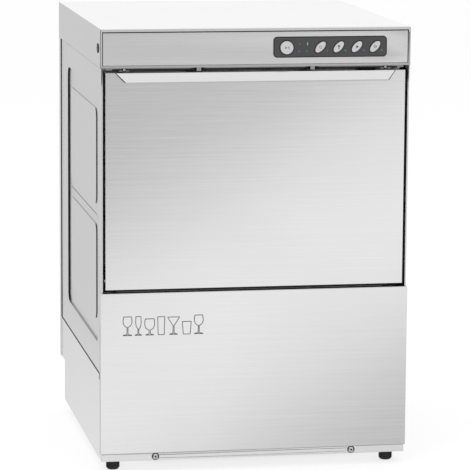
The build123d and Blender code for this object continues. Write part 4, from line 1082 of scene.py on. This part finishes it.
def pressed_row():
    """A row of plain glass outlines pressed into the lower panel, their raised rims painted dark as painted
    shade.
    """
    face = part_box("lower_front_panel")[0].y
    bm = bmesh.new()
    x = ROW_START
    for kind in ("wine", "flute", "goblet", "tall", "bowl", "tumbler", "wine"):
        width = max(w for w, _ in GLASSES[kind])
        glass_shape(bm, kind, ((x + width) * MM, face + 0.02 * MM, ROW_FOOT * MM), ROW_HEIGHT)
        x += 2 * width + ROW_GAP
    return finish_piece("pressed_glass_row", bm, material=["door_steel", "etched_steel"], slot="door_steel",
                        body="casing", soften=0.2)


def program_mark(k):
    """Plain sign on each program key: a ring, a glass, a three-cornered loop and a ring with a dot."""
    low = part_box(f"program_button_{k}")[0]
    c = centre_of(f"program_button_{k}")
    bm = bmesh.new()
    place = (c.x, low.y + 0.06 * MM, c.z)
    if k == 2:
        glass_shape(bm, "goblet", (c.x, place[1], c.z - 2.4 * MM), 0.1, size=0.21, hollow=0)
    elif k == 3:
        ring(bm, place, 4.6, 4.6, 30, 0.55, 0.1, 3)
    else:
        ring(bm, place, 4.2, 4.2, 0, 0.5, 0.1, 24)
    if k == 4:
        ring(bm, place, 1.5, 1.5, 0, 0.6, 0.1, 12)
    return finish_piece(f"program_mark_{k}", bm, material="print_grey", slot="button_grey",
                        body=f"program_key_{k}")


def lamps():
    """The lamps beside the buttons, each a small domed lens."""
    spots = lens_places()
    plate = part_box("control_panel_plate")[0].y
    bm = bmesh.new()
    for index, (x, z) in enumerate(spots):
        before = set(bm.faces)
        disc(bm, (x, plate + 0.3 * MM, z), 2.9, 2.9, 0, 0.45, [(0.25, 0.18), (0.4, 0.12)], 20)
        tint = 2 if index == 1 else (index + 1) % 2
        for f in set(bm.faces) - before:
            f.material_index = tint
    return finish_piece("indicator_lamps", bm, "indicator_lenses",
                        material=["lens_green", "lens_teal", "lens_off"], smooth_angle=60)


# ---- fasteners, feet and trim ----
# inset and rise of a screw head's rings, as shares of its diameter
SCREW_STEPS = [(0.05, 0.1), (0.1, 0.08), (0.12, 0.03), (0.09, 0.01), (0.02, -0.05)]


def pan_screw(bm, centre, diameter, toward=-1):
    """Domed head with a shallow round recess."""
    before = set(bm.verts)
    cap = disc(bm, (0, 0, 0), diameter, diameter, 0, 0.06 * diameter,
               [(inset * diameter, rise * diameter) for inset, rise in SCREW_STEPS], 28)
    # painted shade: the recess floor takes the near-black second material
    cap.material_index = 1
    made = [v for v in bm.verts if v not in before]
    turn = Matrix.Identity(4) if toward < 0 else Matrix.Rotation(math.pi, 4, "Z")
    bmesh.ops.transform(bm, matrix=Matrix.Translation(centre) @ turn, verts=made)


def cover_screws():
    bm = bmesh.new()
    for low, high in solids_of("cover_screws"):
        diameter = (high.x - low.x) / MM
        toward = 1 if low.y > 0 else -1
        face = (high.y - 0.25 * diameter * MM) if toward > 0 else (low.y + 0.25 * diameter * MM)
        place = Vector(((low.x + high.x) / 2, face, (low.z + high.z) / 2))
        pan_screw(bm, place, diameter, toward)
        known = set(bm.faces)
        washer = diameter + 1.5
        ring(bm, place + Vector((0, -toward * 0.05 * MM, 0)), washer, washer, 0, 1.3, 0.25, 28)
        # painted shade: the raised ring round the head takes the near-black material, as a dark outline
        for f in set(bm.faces) - known:
            f.material_index = 1
    return finish_piece("pan_head_screws", bm, "cover_screws", material=["screw_steel", "dark_steel"],
                        smooth_angle=60)


def screw_foot(node):
    """Moulded foot with a chamfered tread and a groove near its top, turned from a profile."""
    low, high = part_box(node)
    c = (low + high) / 2
    r = (high.x - low.x) / 2 / MM
    top = 15.7
    profile = [(0, 0.6), (r - 4.2, 0.6), (r - 3.6, 0), (r - 2.2, 0), (r - 0.3, 2.2), (r, 2.8),
               (r, top - 3.2), (r - 0.5, top - 2.6), (r - 0.5, top - 1.6), (r, top - 1.0), (r - 0.3, top),
               (3.9, top), (3.9, 25.8), (3.2, 26.4), (0, 26.4)]
    bm = bmesh.new()
    verts = [bm.verts.new((x * MM, 0, z * MM)) for x, z in profile]
    edges = [bm.edges.new(pair) for pair in zip(verts, verts[1:])]
    bmesh.ops.spin(bm, geom=verts + edges, cent=(0, 0, 0), axis=(0, 0, 1), angle=math.tau, steps=40,
                   use_merge=True)
    bmesh.ops.remove_doubles(bm, verts=bm.verts[:], dist=1e-7)
    bmesh.ops.translate(bm, vec=(c.x, c.y, low.z), verts=bm.verts[:])
    return finish_piece(node + "_moulded", bm, node, smooth_angle=40)


# CAD pieces that keep their shape and get eased edges, with the easing in millimetres
DRESSED = {
    "base_frame": 0.35, "header_rail": 0.3, "front_posts": 0.3, "door_catch_housings": 0.5,
    "catch_tongue_left": 0.3, "catch_tongue_right": 0.3, "hinge_brackets": 0.5, "hinge_pins": 0.4,
    "hinge_arms": 0.6, "door_switch": 0.4, "jamb_buffers": 0.6, "door_inner_liner": 0.5, "door_gasket": 0.9,
    "wash_tub": 0.4, "rack_rails": 0.35, "tank_filter": 0.25, "standpipe": 0.5, "arm_spindles": 0.6,
    "lower_wash_arm": 0.8, "lower_rinse_arm": 0.4, "upper_wash_arm": 0.8, "upper_rinse_arm": 0.4,
    "glass_basket": 0.6, "tank_heater": 0.3, "wash_pump_housing": 1.0, "pump_motor": 0.8, "boiler": 0.4,
    "boiler_element": 0.4, "water_inlet": 0.5, "drain_stub": 0.5, "cable_gland": 0.5, "inlet_valve": 0.8,
    "rinse_aid_dispenser": 0.8, "terminal_block": 0.5, "wash_feed_pipes": 0.3, "rinse_feed_pipes": 0.2,
    "drain_hose": 0.3, "cap_side_plugs": 0.35, "control_board": 0.3, "pump_rotor": 0.3,
}


# pieces that wear another material than their slot's own: spring steel on the catch tongues, and the darker
# shaded steel on the header rail as painted shade under the cap's overhang
OTHER_FINISH_AND_PAINTED_SHADE = {"header_rail": "shaded_steel", "catch_tongue_left": "spring_steel",
          "catch_tongue_right": "spring_steel"}


# ---- all pieces ----
def build():
    make_materials()
    top_hood()
    control_fascia()
    lower_front()
    side_panel(-1)
    side_panel(1)
    rear_cover()
    rear_skirts()
    joint_shadow_strips()
    pressed_row()
    door_skin()
    door_lip()
    lip_end_shadows()
    wound_springs()
    control_plate()
    button_surrounds()
    start_key()
    start_mark()
    for k in range(1, 5):
        program_key(k)
        program_mark(k)
    lamps()
    heat_sign()
    cover_screws()
    for node in [n for n in nodes if n.startswith("foot_")]:
        screw_foot(node)
    replaced = {n for o in bpy.data.objects for n in o.get("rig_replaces", [])}
    for node, obj in nodes.items():
        if node in replaced:
            continue
        if node in DRESSED:
            dressed(node, DRESSED[node], OTHER_FINISH_AND_PAINTED_SHADE.get(node))
            continue
        obj.data.materials.clear()
        obj.data.materials.append(MATERIALS[slot_of_node[node]])


camera()
studio()
build()
